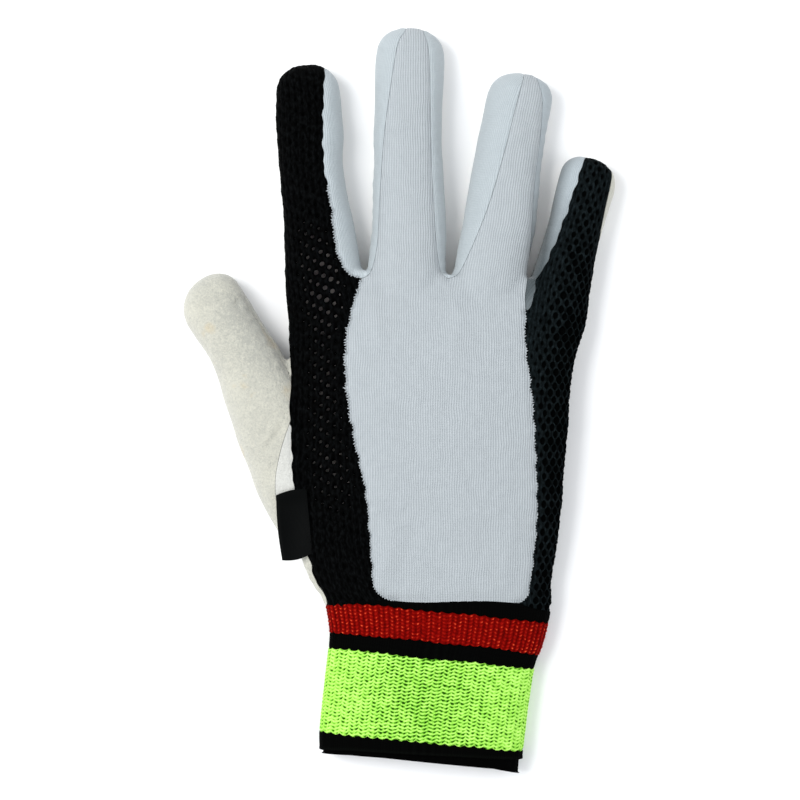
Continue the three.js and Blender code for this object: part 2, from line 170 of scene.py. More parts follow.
# %% The form of the glove
FINGERTIP_SPAN = (0.12, 0.495)  # stretch of a half turn over which a tip closes
CROWN = 0.42  # height of the widest line of a section, as a share of its height
SINK = 0.3  # share of the height that the flattened underside loses
SQUARENESS = 0.86  # below 1 gives a section fuller shoulders than an ellipse
TIP_POWER = 2.3  # 2 is a round tip, more is a blunter one
SKIN_GRID = 0.8  # side of the squares of the melted skin
LOFT_STEP = 1.6
RING_POINTS = 72

# Left x and y, right x and y, height: from inside the cuff to the finger roots
HAND = np.array([
    (-21.6, -76.0, 45.4, -81.0, 13.6),
    (-22.4, -70.0, 47.0, -74.6, 14.2),
    (-26.0, -65.0, 49.4, -69.2, 16.2),
    (-27.7, -62.0, 49.6, -65.5, 17.5),
    (-31.0, -55.2, 49.8, -57.5, 18.5),
    (-33.9, -46.0, 51.2, -47.5, 19.5),
    (-35.6, -30.0, 53.1, -31.0, 21.0),
    (-35.4, -13.0, 54.3, -14.3, 22.0),
    (-35.6, 4.0, 55.6, 2.0, 22.0),
    (-36.0, 18.5, 57.2, 14.5, 20.7),
    (-36.4, 25.5, 59.6, 20.8, 19.4),
    (-37.0, 32.0, 61.2, 27.0, 18.0),
    (-37.4, 43.2, 62.6, 38.6, 13.6),
])

# Middle x and y, width, height: from inside the hand to where the tip starts to close.
# The last row of each is the tip itself, with no width.
FINGERS = {
    "index": [(-22.4, 22.8, 26.0, 16.5), (-24.4, 35.8, 25.6, 16.0), (-25.3, 46.1, 24.4, 15.6),
              (-26.5, 56.6, 22.9, 15.2), (-27.9, 67.0, 21.2, 14.8), (-29.1, 77.4, 21.0, 14.4),
              (-29.4, 88.4, 21.8, 14.0), (-29.9, 98.6, 21.2, 13.2), (-30.8, 109.6, 0, 0)],
    "middle": [(1.6, 22.8, 26.0, 17.5), (2.0, 35.8, 25.6, 17.0), (2.4, 47.5, 25.2, 16.4),
               (3.1, 56.6, 24.0, 16.0), (2.8, 68.0, 23.4, 15.6), (2.6, 82.0, 22.2, 15.2),
               (2.8, 98.2, 22.4, 14.8), (3.3, 111.5, 22.6, 14.0), (3.8, 121.2, 0, 0)],
    "ring": [(25.7, 19.5, 26.0, 17.0), (28.0, 32.5, 24.6, 16.5), (30.4, 46.1, 23.8, 15.9),
             (32.3, 56.6, 23.8, 15.5), (33.7, 67.0, 23.2, 15.1), (35.2, 77.4, 22.2, 14.7),
             (37.0, 88.2, 21.4, 14.3), (38.9, 97.4, 21.6, 13.5), (41.0, 106.3, 0, 0)],
    "little": [(46.0, 6.0, 9.0, 10.0), (49.1, 20.8, 18.6, 15.0), (51.9, 34.5, 19.6, 15.0),
               (54.1, 44.8, 18.9, 14.5), (56.2, 53.2, 17.5, 14.1), (58.5, 61.4, 18.2, 13.7),
               (61.1, 70.4, 19.0, 13.0), (62.6, 79.0, 0, 0)],
    "thumb": [(-25.0, -49.5, 15.0, 12.5), (-28.4, -40.6, 21.6, 14.5), (-33.0, -29.6, 25.4, 16.0),
              (-37.5, -17.4, 26.0, 17.0), (-41.8, -6.8, 25.6, 17.0), (-45.3, 2.4, 24.4, 16.6),
              (-48.8, 10.6, 22.8, 16.0), (-52.9, 18.4, 21.0, 15.4), (-57.0, 24.8, 21.2, 14.8),
              (-60.4, 30.2, 21.4, 13.8), (-65.0, 39.4, 0, 0)],
}
print("sections:", len(HAND) + sum(len(rows) for rows in FINGERS.values()))

# %% [markdown]
# ## Lofting and melting the tubes
# Each section becomes a ring of points, crowned above and flat on the table, and rings in a row
# become a closed tube. The six tubes cross inside the hand. The remesh turns them into one skin,
# and a little smoothing softens the lines where they met.

# %% Lofting and melting the tubes


def smooth_rows(rows, step):
    """A smooth curve through the rows of a table, with a new row about every step."""
    rows = np.asarray(rows, float)
    padded = np.vstack([2 * rows[0] - rows[1], rows, 2 * rows[-1] - rows[-2]])
    out = []
    for i in range(1, len(padded) - 2):
        before, start, end, after = padded[i - 1:i + 3]
        pieces = max(1, int(round(np.hypot(*(end - start)[:2]) / step)))
        for t in np.arange(pieces) / pieces:
            out.append(0.5 * (2 * start + (end - before) * t
                              + (2 * before - 5 * start + 4 * end - after) * t ** 2
                              + (3 * start - before - 3 * end + after) * t ** 3))
    return np.array(out + [rows[-1]])


def ring(centre, across, half, height, closing=1.0):
    """Points round one section, crowned above and flat on the table."""
    angles = np.linspace(0, 2 * np.pi, RING_POINTS, endpoint=False)
    climb = np.sin(angles)
    crown = height * CROWN
    sideways = half * closing * np.sign(np.cos(angles)) * np.abs(np.cos(angles)) ** SQUARENESS
    above = crown + (height - crown) * closing * climb
    below = np.maximum(0, crown + (crown + height * SINK) * closing * climb)
    return np.column_stack([centre[0] + across[0] * sideways, centre[1] + across[1] * sideways,
                            np.where(climb > 0, above, below)])


def hand_rings(rows, step=LOFT_STEP):
    rings = []
    for left_x, left_y, right_x, right_y, height in smooth_rows(rows, step):
        left, right = np.array([left_x, left_y]), np.array([right_x, right_y])
        width = np.hypot(*(right - left))
        rings.append(ring((left + right) / 2, (right - left) / width, width / 2, height))
    return rings


def finger_rings(rows):
    body = smooth_rows(rows[:-1], LOFT_STEP)
    along = np.gradient(body[:, :2], axis=0)
    along /= np.linalg.norm(along, axis=1)[:, None]
    across = np.column_stack([along[:, 1], -along[:, 0]])
    rings = [ring(row[:2], side, row[2] / 2, row[3]) for row, side in zip(body, across)]
    last, tip = body[-1], np.array(rows[-1][:2])
    for share in np.sin(np.linspace(*FINGERTIP_SPAN, 12) * np.pi):
        closing = (1 - share ** TIP_POWER) ** (1 / TIP_POWER)
        rings.append(ring(last[:2] + share * (tip - last[:2]), across[-1], last[2] / 2, last[3], closing))
    return rings


def tube_mesh(name, rings):
    """A closed tube through the rings, as one object."""
    count = len(rings[0])
    points = np.vstack(rings) * MM
    faces = [tuple(range(count))]
    for level in range(len(rings) - 1):
        low, high = level * count, (level + 1) * count
        faces += [(low + i, high + i, high + (i + 1) % count, low + (i + 1) % count)
                  for i in range(count)]
    faces.append(tuple(range(len(points) - 1, len(points) - 1 - count, -1)))
    mesh = bpy.data.meshes.new(name)
    mesh.from_pydata(points.tolist(), [], faces)
    piece = bpy.data.objects.new(name, mesh)
    scene.collection.objects.link(piece)
    return piece


def make_active(*pieces):
    """Selects these pieces alone and makes the first the active one."""
    bpy.ops.object.select_all(action="DESELECT")
    for piece in pieces:
        piece.select_set(True)
    bpy.context.view_layer.objects.active = pieces[0]


def edit_all(operator, **settings):
    """Runs one mesh operator on the whole of the active piece."""
    bpy.ops.object.mode_set(mode="EDIT")
    bpy.ops.mesh.select_all(action="SELECT")
    operator(**settings)
    bpy.ops.object.mode_set(mode="OBJECT")


def melt(pieces, grid, rounds):
    """Joins closed tubes into one skin of even squares, and smooths its creases."""
    make_active(*pieces)
    bpy.ops.object.join()
    skin = bpy.context.object
    edit_all(bpy.ops.mesh.normals_make_consistent, inside=False)
    remesh = skin.modifiers.new("even_squares", "REMESH")
    remesh.mode = "VOXEL"
    remesh.voxel_size = grid * MM
    bpy.ops.object.modifier_apply(modifier=remesh.name)
    smooth = skin.modifiers.new("soften", "SMOOTH")
    smooth.factor = 0.5
    smooth.iterations = rounds
    bpy.ops.object.modifier_apply(modifier=smooth.name)
    return skin


SOFTEN_ROUNDS = 10
tubes = [tube_mesh("hand_tube", hand_rings(HAND))]
tubes += [tube_mesh(f"{name}_tube", finger_rings(rows)) for name, rows in FINGERS.items()]
skin = melt(tubes, SKIN_GRID, SOFTEN_ROUNDS)
print("squares in the skin:", len(skin.data.polygons))

# %% [markdown]
# ## Seams and panels
# The cloth was cut flat and sewn, and every seam is a line that can be read off the back of the
# glove. The lines are splines through a few points. Each panel is the stretch of skin inside its
# outline. The same lines shape the skin, cut it, and carry the stitches.

# %% Seams and panels
SEAMS = {
    "index_inner": [(-24.4, 113.8), (-24.6, 104.0), (-25.0, 90.0), (-24.6, 76.0), (-22.1, 61.1),
                    (-20.9, 50.7), (-19.0, 44.4), (-16.7, 40.9), (-12.7, 39.3)],
    "middle_left": [(1.6, 126.0), (2.0, 120.6), (-0.8, 115.0), (-3.4, 99.0), (-5.4, 83.0),
                    (-6.6, 64.0), (-7.2, 52.0), (-8.4, 44.8), (-10.1, 40.6), (-12.7, 39.3)],
    "middle_right": [(7.4, 126.0), (7.4, 120.6), (9.3, 113.0), (9.7, 98.0), (10.2, 76.0),
                     (11.3, 57.0), (12.2, 46.8), (13.4, 41.2), (15.6, 39.3)],
    "ring_left": [(41.2, 111.0), (40.2, 105.0), (37.4, 94.6), (33.6, 79.6), (28.9, 63.7),
                  (24.2, 51.6), (20.4, 43.4), (18.4, 40.4), (15.6, 39.3)],
    "ring_right": [(43.6, 111.0), (44.4, 105.0), (46.2, 97.0), (45.4, 84.0), (43.6, 69.0),
                   (42.6, 53.0), (42.0, 44.0), (41.1, 38.0), (40.4, 32.7), (40.6, 28.6)],
    "little_left": [(62.4, 83.0), (60.3, 79.0), (57.4, 70.8), (53.6, 59.4), (48.8, 47.2),
                    (46.4, 42.6), (44.6, 39.6), (43.7, 36.0), (42.9, 31.8), (41.9, 29.4), (40.6, 28.6)],
    "white_left": [(-12.7, 39.3), (-15.6, 29.0), (-17.5, 18.0), (-17.3, 4.0), (-14.6, -13.0),
                   (-11.0, -30.0), (-9.4, -48.8), (-8.4, -60.2), (-5.4, -63.8), (-1.3, -65.0)],
    "white_right": [(40.6, 28.6), (40.4, 18.0), (42.6, 0.0), (43.8, -20.0), (44.2, -38.0),
                    (42.8, -54.0), (41.2, -63.2), (38.6, -65.8)],
    "wrist_left": [(-40.0, -64.0), (-25.0, -64.0), (-12.0, -64.6), (-1.3, -65.0)],
    "wrist_back": [(-1.3, -65.0), (8.0, -65.3), (18.0, -64.9), (27.0, -64.8), (38.6, -65.8)],
    "wrist_right": [(38.6, -65.8), (43.0, -67.4), (49.4, -68.8), (66.0, -70.6)],
    "thumb_side": [(-47.0, 50.0), (-42.0, 36.0), (-38.6, 24.0), (-35.9, 14.0), (-35.2, 6.0),
                   (-35.7, -2.0), (-35.3, -6.5)],
    "mesh_edge": [(-35.3, -6.5), (-34.9, -16.0), (-34.3, -28.5), (-32.0, -41.0), (-29.6, -51.0),
                  (-27.8, -57.5), (-25.2, -62.4), (-24.0, -64.5)],
    "thumb_palm": [(-35.3, -6.5), (-38.4, -16.0), (-40.2, -25.0), (-40.0, -32.8), (-39.0, -40.0),
                   (-42.0, -50.0)],
    "thumb_seam": [(-48.0, 44.0), (-50.6, 37.0), (-50.2, 32.0), (-44.6, 23.2), (-38.6, 13.2),
                   (-36.1, 8.5), (-35.2, 5.0)],
    "little_tip": [(64.6, 84.0), (67.4, 79.5), (69.0, 76.0), (68.6, 70.7), (66.3, 60.1),
                   (65.3, 54.4), (65.1, 48.0), (66.4, 41.0), (70.0, 34.0)],
}
SEAM_STEP = 1.2
UNEVEN = 0.22  # mm that the edge of the lumpy mesh strays
LINES = {name: smooth_rows(points, SEAM_STEP) for name, points in SEAMS.items()}
for name in ("index_inner", "little_left", "white_left", "white_right", "mesh_edge"):
    line = LINES[name]
    fade = np.sin(np.linspace(0, np.pi, len(line))) ** 0.3
    line[:, 0] += UNEVEN * fade * (np.sin(line[:, 1] * 1.27) + np.sin(line[:, 1] * 0.71 + 2))
print("seams:", len(SEAMS), " points on them:", sum(len(line) for line in LINES.values()))

# %% [markdown]
# ## Outlines of the panels
# A panel's outline is a chain of seams, some of them run backwards. The distance to an outline
# is above 0 inside it and below 0 outside, so it tells at once where a panel ends. The palm is
# what lies below the seam along the sides of the hand.

# %% Outlines of the panels
PALM_SEAM_HEIGHT = 3.2  # the leather of the palm comes up the sides to here
WRIST_TUCK = {"x": -20.0, "y": -49.0, "height": 7.6}  # where the seam climbs, and how high
UNDER_CUFF = 3.0  # the panels run on under the cuff by this much


def trimmed(name, low=-999.0, high=999.0, lowered=0.0):
    """The stretch of a seam between two values of y, moved towards the cuff if lowered."""
    line = LINES[name]
    return line[(line[:, 1] >= low) & (line[:, 1] <= high)] - (0, lowered)


def outline(*parts):
    """A closed outline. A part is a seam, a seam with - to run it backwards, or loose points."""
    out = []
    for part in parts:
        if isinstance(part, str):
            part = LINES[part[1:]][::-1] if part[0] == "-" else LINES[part]
        out.append(np.atleast_2d(part))
    return np.vstack(out)


wrist_left = trimmed("wrist_left", lowered=UNDER_CUFF)
wrist_back = trimmed("wrist_back", lowered=UNDER_CUFF)
wrist_right = trimmed("wrist_right", lowered=UNDER_CUFF)
OUTLINES = {
    "back_panel": outline("-middle_left", "middle_right", "-ring_left", "ring_right", "white_right",
                          wrist_back[::-1], "-white_left"),
    "fourchette_index_middle": outline("index_inner", "-middle_left", (-14, 126)),
    "fourchette_middle_ring": outline("middle_right", "-ring_left", (30, 126)),
    "fourchette_ring_little": outline("ring_right", "-little_left", (56, 112)),
    "index_mesh_panel": outline("-index_inner", (-47, 118), "thumb_side", "mesh_edge",
                                wrist_left[wrist_left[:, 0] > -24.0], "-white_left"),
    "little_mesh_panel": outline("-little_left", "little_tip", (78, 30), (78, -74),
                                 wrist_right[::-1], "-white_right"),
    "thumb_gusset": outline(trimmed("thumb_palm", low=-33.0), trimmed("mesh_edge", low=-33.0)[::-1]),
    "thumb_back_panel": outline("thumb_seam", trimmed("thumb_side", high=4.0), "thumb_palm",
                                (-90, -50), (-90, 60), (-50, 60)),
}
THUMB_OUTLINE = outline("thumb_side", "thumb_palm", (-90, -50), (-90, 60), (-47, 60))
HAND_OUTLINE = outline(wrist_left, wrist_back, wrist_right, (90, 130), (-90, 130))


def line_distance(points, line, closed=False):
    """Distance in mm from each point to a line seen from above, and how far along the line."""
    ends = np.vstack([line, line[:1]]) if closed else line
    nearest, along, travelled = np.full(len(points), 1e9), np.zeros(len(points)), 0.0
    for start, end in zip(ends[:-1], ends[1:]):
        run = end - start
        length = np.hypot(*run)
        if length < 1e-6:
            continue
        offset = points[:, :2] - start
        share = np.clip(offset @ run / length ** 2, 0, 1)
        distance = np.hypot(*(offset - share[:, None] * run).T)
        closer = distance < nearest
        nearest[closer] = distance[closer]
        along[closer] = travelled + share[closer] * length
        travelled += length
    return nearest, along


def inside_distance(points, shape):
    """Distance in mm to an outline seen from above, above 0 for a point inside it."""
    distance, _ = line_distance(points, shape, closed=True)
    inside = np.zeros(len(points), bool)
    x, y = points[:, 0], points[:, 1]
    for (x1, y1), (x2, y2) in zip(shape, np.roll(shape, -1, axis=0)):
        if y1 != y2:
            crosses = (y1 > y) != (y2 > y)
            inside ^= crosses & (x < x1 + (y - y1) * (x2 - x1) / (y2 - y1))
    return np.where(inside, distance, -distance)


def step_up(value, low, high):
    """0 below low, 1 above high and smooth in between."""
    share = np.clip((value - low) / (high - low), 0, 1)
    return share * share * (3 - 2 * share)


def seam_height(points):
    """Height of the seam along the sides of the hand, which climbs beside the wrist."""
    x, y = WRIST_TUCK["x"], WRIST_TUCK["y"]
    beside = step_up(points[:, 0], x + 1, x - 2) * step_up(points[:, 1], y + 4, y - 3)
    return PALM_SEAM_HEIGHT + (WRIST_TUCK["height"] - PALM_SEAM_HEIGHT) * beside


def upper_field(name, points):
    """How far inside a panel of the back each point is, in mm. Below 0 is outside."""
    return np.minimum(inside_distance(points, OUTLINES[name]), points[:, 2] - seam_height(points))


print("panels of the back:", len(OUTLINES))

# %% [markdown]
# ## Creases and folds
# A sewn panel is pulled down at its seams and stands up between them. The wrist is gathered by
# the elastic cuff. The thumb has creases where it bends. In a sculpting program these would be
# strokes of a crease brush. Here each stroke is a line with a width and a depth, which can be
# checked against the glove and repeated exactly.

# %% Creases and folds
# Seam, depth of the groove, width of the groove
GROOVES = [("index_inner", 0.45, 0.9), ("middle_left", 0.34, 0.7), ("middle_right", 0.34, 0.7),
           ("ring_left", 0.34, 0.7), ("ring_right", 0.38, 0.8), ("little_left", 0.5, 0.9),
           ("white_left", 0.6, 1.1), ("white_right", 0.6, 1.1), ("thumb_seam", 0.3, 0.6),
           ("mesh_edge", 0.35, 0.8)]
SWELL = (0.22, 16)  # height and length of the cloth's soft unevenness
PUCKER_HEIGHT, PUCKER_STEP = 0.10, 4.3  # beside a seam, at each pull of the thread
WRIST_PULL, WRIST_PULL_WIDTH = 0.6, 2.2
SIDE_SEAM_DEPTH, SIDE_SEAM_WIDTH = 0.35, 0.7
TABLE_GAP = 0.02
TIP_FADE = (5.0, 16.0)  # along its first mm, past the fingertip, a finger's seam has next to no groove
# Points of the stroke, depth, width. A depth below 0 is a ridge.
STROKES = [
    ([(-37.4, -6.8), (-39.6, -11.0), (-44.2, -16.2)], 0.9, 1.2),
    ([(-40.4, -12.6), (-43.5, -14.6), (-46.5, -15.0)], -0.35, 1.6),
    ([(-38.2, -17.6), (-41.5, -22.5), (-42.5, -28.0)], 0.5, 1.6),
    ([(-52.0, 33.8), (-52.6, 31.4), (-51.4, 28.6)], 0.5, 1.0),
    ([(-10.5, 36.0), (-8.0, 28.0), (-7.0, 16.0)], -0.45, 2.6),
    ([(17.5, 36.5), (18.5, 26.0), (17.5, 12.0)], -0.4, 2.8),
    ([(-6.0, -60.0), (-3.5, -50.0), (-3.0, -38.0)], -0.5, 2.4),
    ([(2.0, -61.0), (3.0, -52.0), (4.5, -40.0)], 0.35, 3.0),
    ([(33.5, -62.0), (34.5, -50.0), (36.0, -36.0)], -0.45, 2.6),
    ([(-24.0, -59.0), (-23.0, -46.0), (-22.5, -30.0)], 0.5, 2.6),
    ([(46.5, -63.0), (47.0, -52.0), (48.0, -40.0)], 0.4, 2.2),
]


def skin_rows(piece):
    """Points and triangles of an object as arrays, in mm."""
    mesh = piece.data
    mesh.calc_loop_triangles()
    points = np.empty(len(mesh.vertices) * 3)
    mesh.vertices.foreach_get("co", points)
    corners = np.empty(len(mesh.loop_triangles) * 3, int)
    mesh.loop_triangles.foreach_get("vertices", corners)
    return points.reshape(-1, 3) / MM, corners.reshape(-1, 3)


def point_normals(points, triangles):
    a, b, c = (points[triangles[:, k]] for k in range(3))
    faces = np.cross(b - a, c - a)
    normals = np.zeros_like(points)
    for k in range(3):
        np.add.at(normals, triangles[:, k], faces)
    return normals / np.maximum(np.linalg.norm(normals, axis=1), 1e-9)[:, None]


def waves(points, scale, seed):
    """A soft unevenness between about -1 and 1, made of a few crossing waves."""
    rng = np.random.default_rng(seed)
    total = np.zeros(len(points))
    for _ in range(9):
        direction = rng.normal(size=3)
        direction /= np.linalg.norm(direction)
        total += np.sin(points @ direction * 2 * np.pi / (scale * rng.uniform(0.7, 1.6))
                        + rng.uniform(0, 6.28))
    return total / 4.5


points, triangles = skin_rows(skin)
bpy.data.objects.remove(skin)
normals = point_normals(points, triangles)
upper = step_up(points[:, 2], 3.5, 7.5)
shift = SWELL[0] * waves(points, SWELL[1], 3) * upper
for name, depth, width in GROOVES:
    distance, along = line_distance(points, LINES[name])
    if LINES[name][0, 1] > 80:
        depth = depth * (0.3 + 0.7 * step_up(along, *TIP_FADE))
    beside = np.exp(-((distance - 1.6) / 1.5) ** 2)
    pucker = PUCKER_HEIGHT * np.sin(along * 2 * np.pi / PUCKER_STEP) * beside
    shift -= (depth * np.exp(-(distance / width) ** 2) - pucker) * upper
for stroke, depth, width in STROKES:
    distance, along = line_distance(points, smooth_rows(stroke, 1.0))
    taper = np.sin(np.pi * np.clip(along / along.max(), 0, 1)) ** 0.5
    shift -= depth * np.exp(-(distance / width) ** 2) * taper * upper
wrist_line = np.vstack([LINES[name] for name in ("wrist_left", "wrist_back", "wrist_right")])
wrist, _ = line_distance(points, wrist_line)
shift -= WRIST_PULL * np.exp(-(wrist / WRIST_PULL_WIDTH) ** 2)
side_seam = np.exp(-((points[:, 2] - seam_height(points)) / SIDE_SEAM_WIDTH) ** 2)
shift -= SIDE_SEAM_DEPTH * side_seam * step_up(points[:, 2], 1.5, 2.5)
points += normals * shift[:, None]
points[:, 2] = np.maximum(points[:, 2], TABLE_GAP)
normals = point_normals(points, triangles)
skin_tree = BVHTree.FromPolygons(points.tolist(), triangles.tolist())
print("deepest crease, mm:", round(-shift.min(), 2))

# %% [markdown]
# ## Cutting panels from the skin
# A knife in the modeller would cut the skin one seam at a time. The skin has the same small
# triangles everywhere, so it can instead be cut where the distance to a seam is zero. Each
# triangle on the seam is split at that point, which gives a clean edge that both panels share.

# %% Cutting panels from the skin
SEAM_GAP = 0.13  # between the edges of two panels


def cut(rows, corners, field):
    """Keeps what lies where field is above 0, and splits the triangles on its edge."""
    inside = field > 0
    count = inside[corners].sum(axis=1)
    kept = [corners[count == 3]]
    lone_in, lone_out = corners[count == 1], corners[count == 2]
    lone_in = np.array([np.roll(t, -int(np.argmax(inside[t]))) for t in lone_in]).reshape(-1, 3)
    lone_out = np.array([np.roll(t, -int(np.argmin(inside[t]))) for t in lone_out]).reshape(-1, 3)
    pairs = np.vstack([lone_in[:, [0, 1]], lone_in[:, [0, 2]], lone_out[:, [0, 1]], lone_out[:, [0, 2]]])
    if len(pairs):
        edges, which = np.unique(np.sort(pairs, axis=1), axis=0, return_inverse=True)
        which = which.reshape(-1) + len(rows)
        a, b = edges[:, 0], edges[:, 1]
        share = np.clip(field[a] / (field[a] - field[b]), 0.03, 0.97)[:, None]
        rows = np.vstack([rows, rows[a] * (1 - share) + rows[b] * share])
        n, m = len(lone_in), len(lone_out)
        in_b, in_c, out_b, out_c = which[:n], which[n:2 * n], which[2 * n:2 * n + m], which[2 * n + m:]
        kept.append(np.column_stack([lone_in[:, 0], in_b, in_c]))
        kept.append(np.column_stack([out_b, lone_out[:, 1], lone_out[:, 2]]))
        kept.append(np.column_stack([out_b, lone_out[:, 2], out_c]))
    corners = np.vstack(kept)
    used, corners = np.unique(corners, return_inverse=True)
    return rows[used], corners.reshape(-1, 3)


def area_of(rows, corners):
    """Area of the cloth in square metres."""
    a, b, c = (rows[corners[:, k], :3] for k in range(3))
    return float(np.linalg.norm(np.cross(b - a, c - a), axis=1).sum() / 2) * MM * MM


def make_piece(name, rows, corners, materials, sharp=50):
    """An object from rows of x, y, z in mm, and then u and v of the cloth in mm if there are five."""
    mesh = bpy.data.meshes.new(name)
    mesh.from_pydata((rows[:, :3] * MM).tolist(), [], corners.tolist())
    if rows.shape[1] >= 5:
        order = np.empty(len(mesh.loops), int)
        mesh.loops.foreach_get("vertex_index", order)
        mesh.uv_layers.new(name="cloth").data.foreach_set("uv", rows[order, 3:5].ravel())
    for material in materials:
        mesh.materials.append(material)
    mesh.polygons.foreach_set("use_smooth", [True] * len(mesh.polygons))
    mesh.update()
    mesh.set_sharp_from_angle(angle=math.radians(sharp))
    piece = bpy.data.objects.new(name, mesh)
    scene.collection.objects.link(piece)
    return piece


def thicken(piece, thickness):
    """Gives a cloth its thickness, inwards from the face that is seen. The inner face takes the
    second material if there is one."""
    make_active(piece)
    solidify = piece.modifiers.new("thickness", "SOLIDIFY")
    solidify.thickness = thickness * MM
    solidify.offset = -1
    solidify.material_offset = len(piece.data.materials) - 1
    bpy.ops.object.modifier_apply(modifier=solidify.name)
    piece.data.set_sharp_from_angle(angle=math.radians(50))


def place(piece, nodes, slot, flat, area, rests_on=(), with_pieces=()):
    """Ties a panel to the measured model and says how large its cloth was when flat, in mm."""
    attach(piece, "root")
    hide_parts(*nodes)
    share = area / (flat[0] * flat[1] * MM * MM)
    print(f"{piece.name}: {len(piece.data.polygons)} faces, {area * 1e4:.1f} cm2, {share:.2f} of its cloth")


print("skin to cut from, cm2:", round(area_of(points, triangles) * 1e4, 1))

# %% [markdown]
# ## Knitted jersey
# The white back and the strips between the fingers are a thin cotton jersey. Close up it shows
# fine ribs, 0.8 mm apart, that run along the fingers. It is matt, with a soft bright fringe of
# fibres where the cloth turns away. The ribs are a bump, as they are far below a millimetre high.

# %% Knitted jersey
WALE = 0.78  # distance between the fine ribs of the jersey, in mm
COURSE = 0.55  # distance between the rows of loops


def make_jersey(name, colour, shade, rib_depth, painted_shade=None):
    """Cotton jersey: ribs and rows of loops from the cloth's own u and v, in mm. The last colour,
    if given, is a painted shade, low on the finger's side and towards its root."""
    material, tree = new_material(name)
    cloth = add_node(tree, "ShaderNodeUVMap", {"uv_map": "cloth"})
    wobble = add_node(tree, "ShaderNodeTexNoise",
                      inputs={"Vector": cloth.outputs["UV"], "Scale": 0.09, "Detail": 2.0})
    strayed = add_node(tree, "ShaderNodeVectorMath", {"operation": "MULTIPLY_ADD"},
                       {0: wobble.outputs["Color"], 1: (1.6, 1.0, 0.0), 2: cloth.outputs["UV"]})
    split = add_node(tree, "ShaderNodeSeparateXYZ", inputs={0: strayed.outputs[0]})
    ribs = add_node(tree, "ShaderNodeMath", {"operation": "MULTIPLY"},
                    {0: split.outputs["X"], 1: 2 * math.pi / WALE})
    rib_wave = add_node(tree, "ShaderNodeMath", {"operation": "SINE"}, {0: ribs.outputs[0]})
    rows = add_node(tree, "ShaderNodeMath", {"operation": "MULTIPLY"},
                    {0: split.outputs["Y"], 1: 2 * math.pi / COURSE})
    row_wave = add_node(tree, "ShaderNodeMath", {"operation": "SINE"}, {0: rows.outputs[0]})
    knit = add_node(tree, "ShaderNodeMath", {"operation": "MULTIPLY_ADD"},
                    {0: row_wave.outputs[0], 1: 0.3, 2: rib_wave.outputs[0]})
    fuzz = add_node(tree, "ShaderNodeTexNoise",
                    inputs={"Vector": cloth.outputs["UV"], "Scale": 2.6, "Detail": 4.0})
    height = add_node(tree, "ShaderNodeMath", {"operation": "MULTIPLY_ADD"},
                      {0: fuzz.outputs[0], 1: 1.6, 2: knit.outputs[0]})
    bump = add_node(tree, "ShaderNodeBump",
                    inputs={"Height": height.outputs[0], "Distance": rib_depth * MM, "Strength": 0.8})
    patches = add_node(tree, "ShaderNodeTexNoise",
                       inputs={"Vector": cloth.outputs["UV"], "Scale": 0.35, "Detail": 5.0})
    patchy = add_node(tree, "ShaderNodeMath", {"operation": "MULTIPLY_ADD"},
                      {0: patches.outputs[0], 1: 0.30, 2: 0.42})
    # The ribs and rows of loops are also painted into the colour: darker in their troughs as painted shade,
    # lighter on their crests as painted highlight. The patches are the cloth's own uneven tone.
    tone = add_node(tree, "ShaderNodeMath", {"operation": "MULTIPLY_ADD", "use_clamp": True},
                    {0: knit.outputs[0], 1: 0.26, 2: patchy.outputs[0]})
    tint = add_node(tree, "ShaderNodeMix", {"data_type": "RGBA"},
                    {"Factor": tone.outputs[0], "A": srgb(shade), "B": srgb(colour)})
    # Painted shade: low on the finger's side and towards its root the colour is mixed towards a dark grey.
    if painted_shade:
        low_down = add_node(tree, "ShaderNodeMapRange",
                            inputs={"Value": split.outputs["X"], "From Min": 6.5, "From Max": -2.5,
                                    "To Max": 0.85})
        to_root = add_node(tree, "ShaderNodeMapRange",
                           inputs={"Value": split.outputs["Y"], "From Min": 70.0, "From Max": 46.0,
                                   "To Max": 0.8})
        shade_share = add_node(tree, "ShaderNodeMath", {"operation": "ADD", "use_clamp": True},
                          {0: low_down.outputs[0], 1: to_root.outputs[0]})
        tint = add_node(tree, "ShaderNodeMix", {"data_type": "RGBA"},
                        {"Factor": shade_share.outputs[0], "A": tint.outputs["Result"], "B": srgb(painted_shade)})
    shader = add_node(tree, "ShaderNodeBsdfPrincipled",
                      inputs={"Base Color": tint.outputs["Result"], "Roughness": 0.85,
                              "Sheen Weight": 0.25, "Sheen Roughness": 0.5, "Normal": bump.outputs[0]})
    finish_material(tree, shader)
    return material


white_jersey = make_jersey("white_cotton_jersey", "#B3B9BC", "#8E9599", 0.11)
strip_jersey = make_jersey("strip_cotton_jersey", "#B4BCBF", "#98A1A5", 0.08)
# The third jersey has a painted shade, for the strip beside the little finger, which turns away from the
# lamp.
shaded_jersey = make_jersey("cotton_jersey_painted_shade", "#ACB5B9", "#929BA0", 0.08, "#3F484B")
print("ribs to 10 mm of jersey:", round(10 / WALE, 1))

# %% [markdown]
# ## The white panels
# Each panel needs the directions of its own cloth, so that its ribs run as the knit was cut. On
# the back they run straight up and lean with the ring finger. On a strip they run along both
# fingers that it is sewn between.

# %% The white panels
JERSEY_THICKNESS = 1.0
STRIP_WIDTH = 26
STRIP_SHARE = 0.8  # of its flat size that a strip fills


def finger_line(name):
    """The line down the middle of a finger, as x for a y."""
    rows = np.array(FINGERS[name])[:, :2]
    return rows[:, 1], rows[:, 0]


def cloth_on_back(at):
    """Ribs run straight up the back of the hand, and bend with the ring finger."""
    y = at[:, 1]
    lean_y, lean_x = finger_line("ring")
    lean = np.interp(y, lean_y, lean_x) - np.interp(39.0, lean_y, lean_x)
    ring_side = step_up(at[:, 0], 13.0, 17.0) * step_up(y, 20.0, 50.0)
    return np.column_stack([at[:, 0] - lean * ring_side, y])


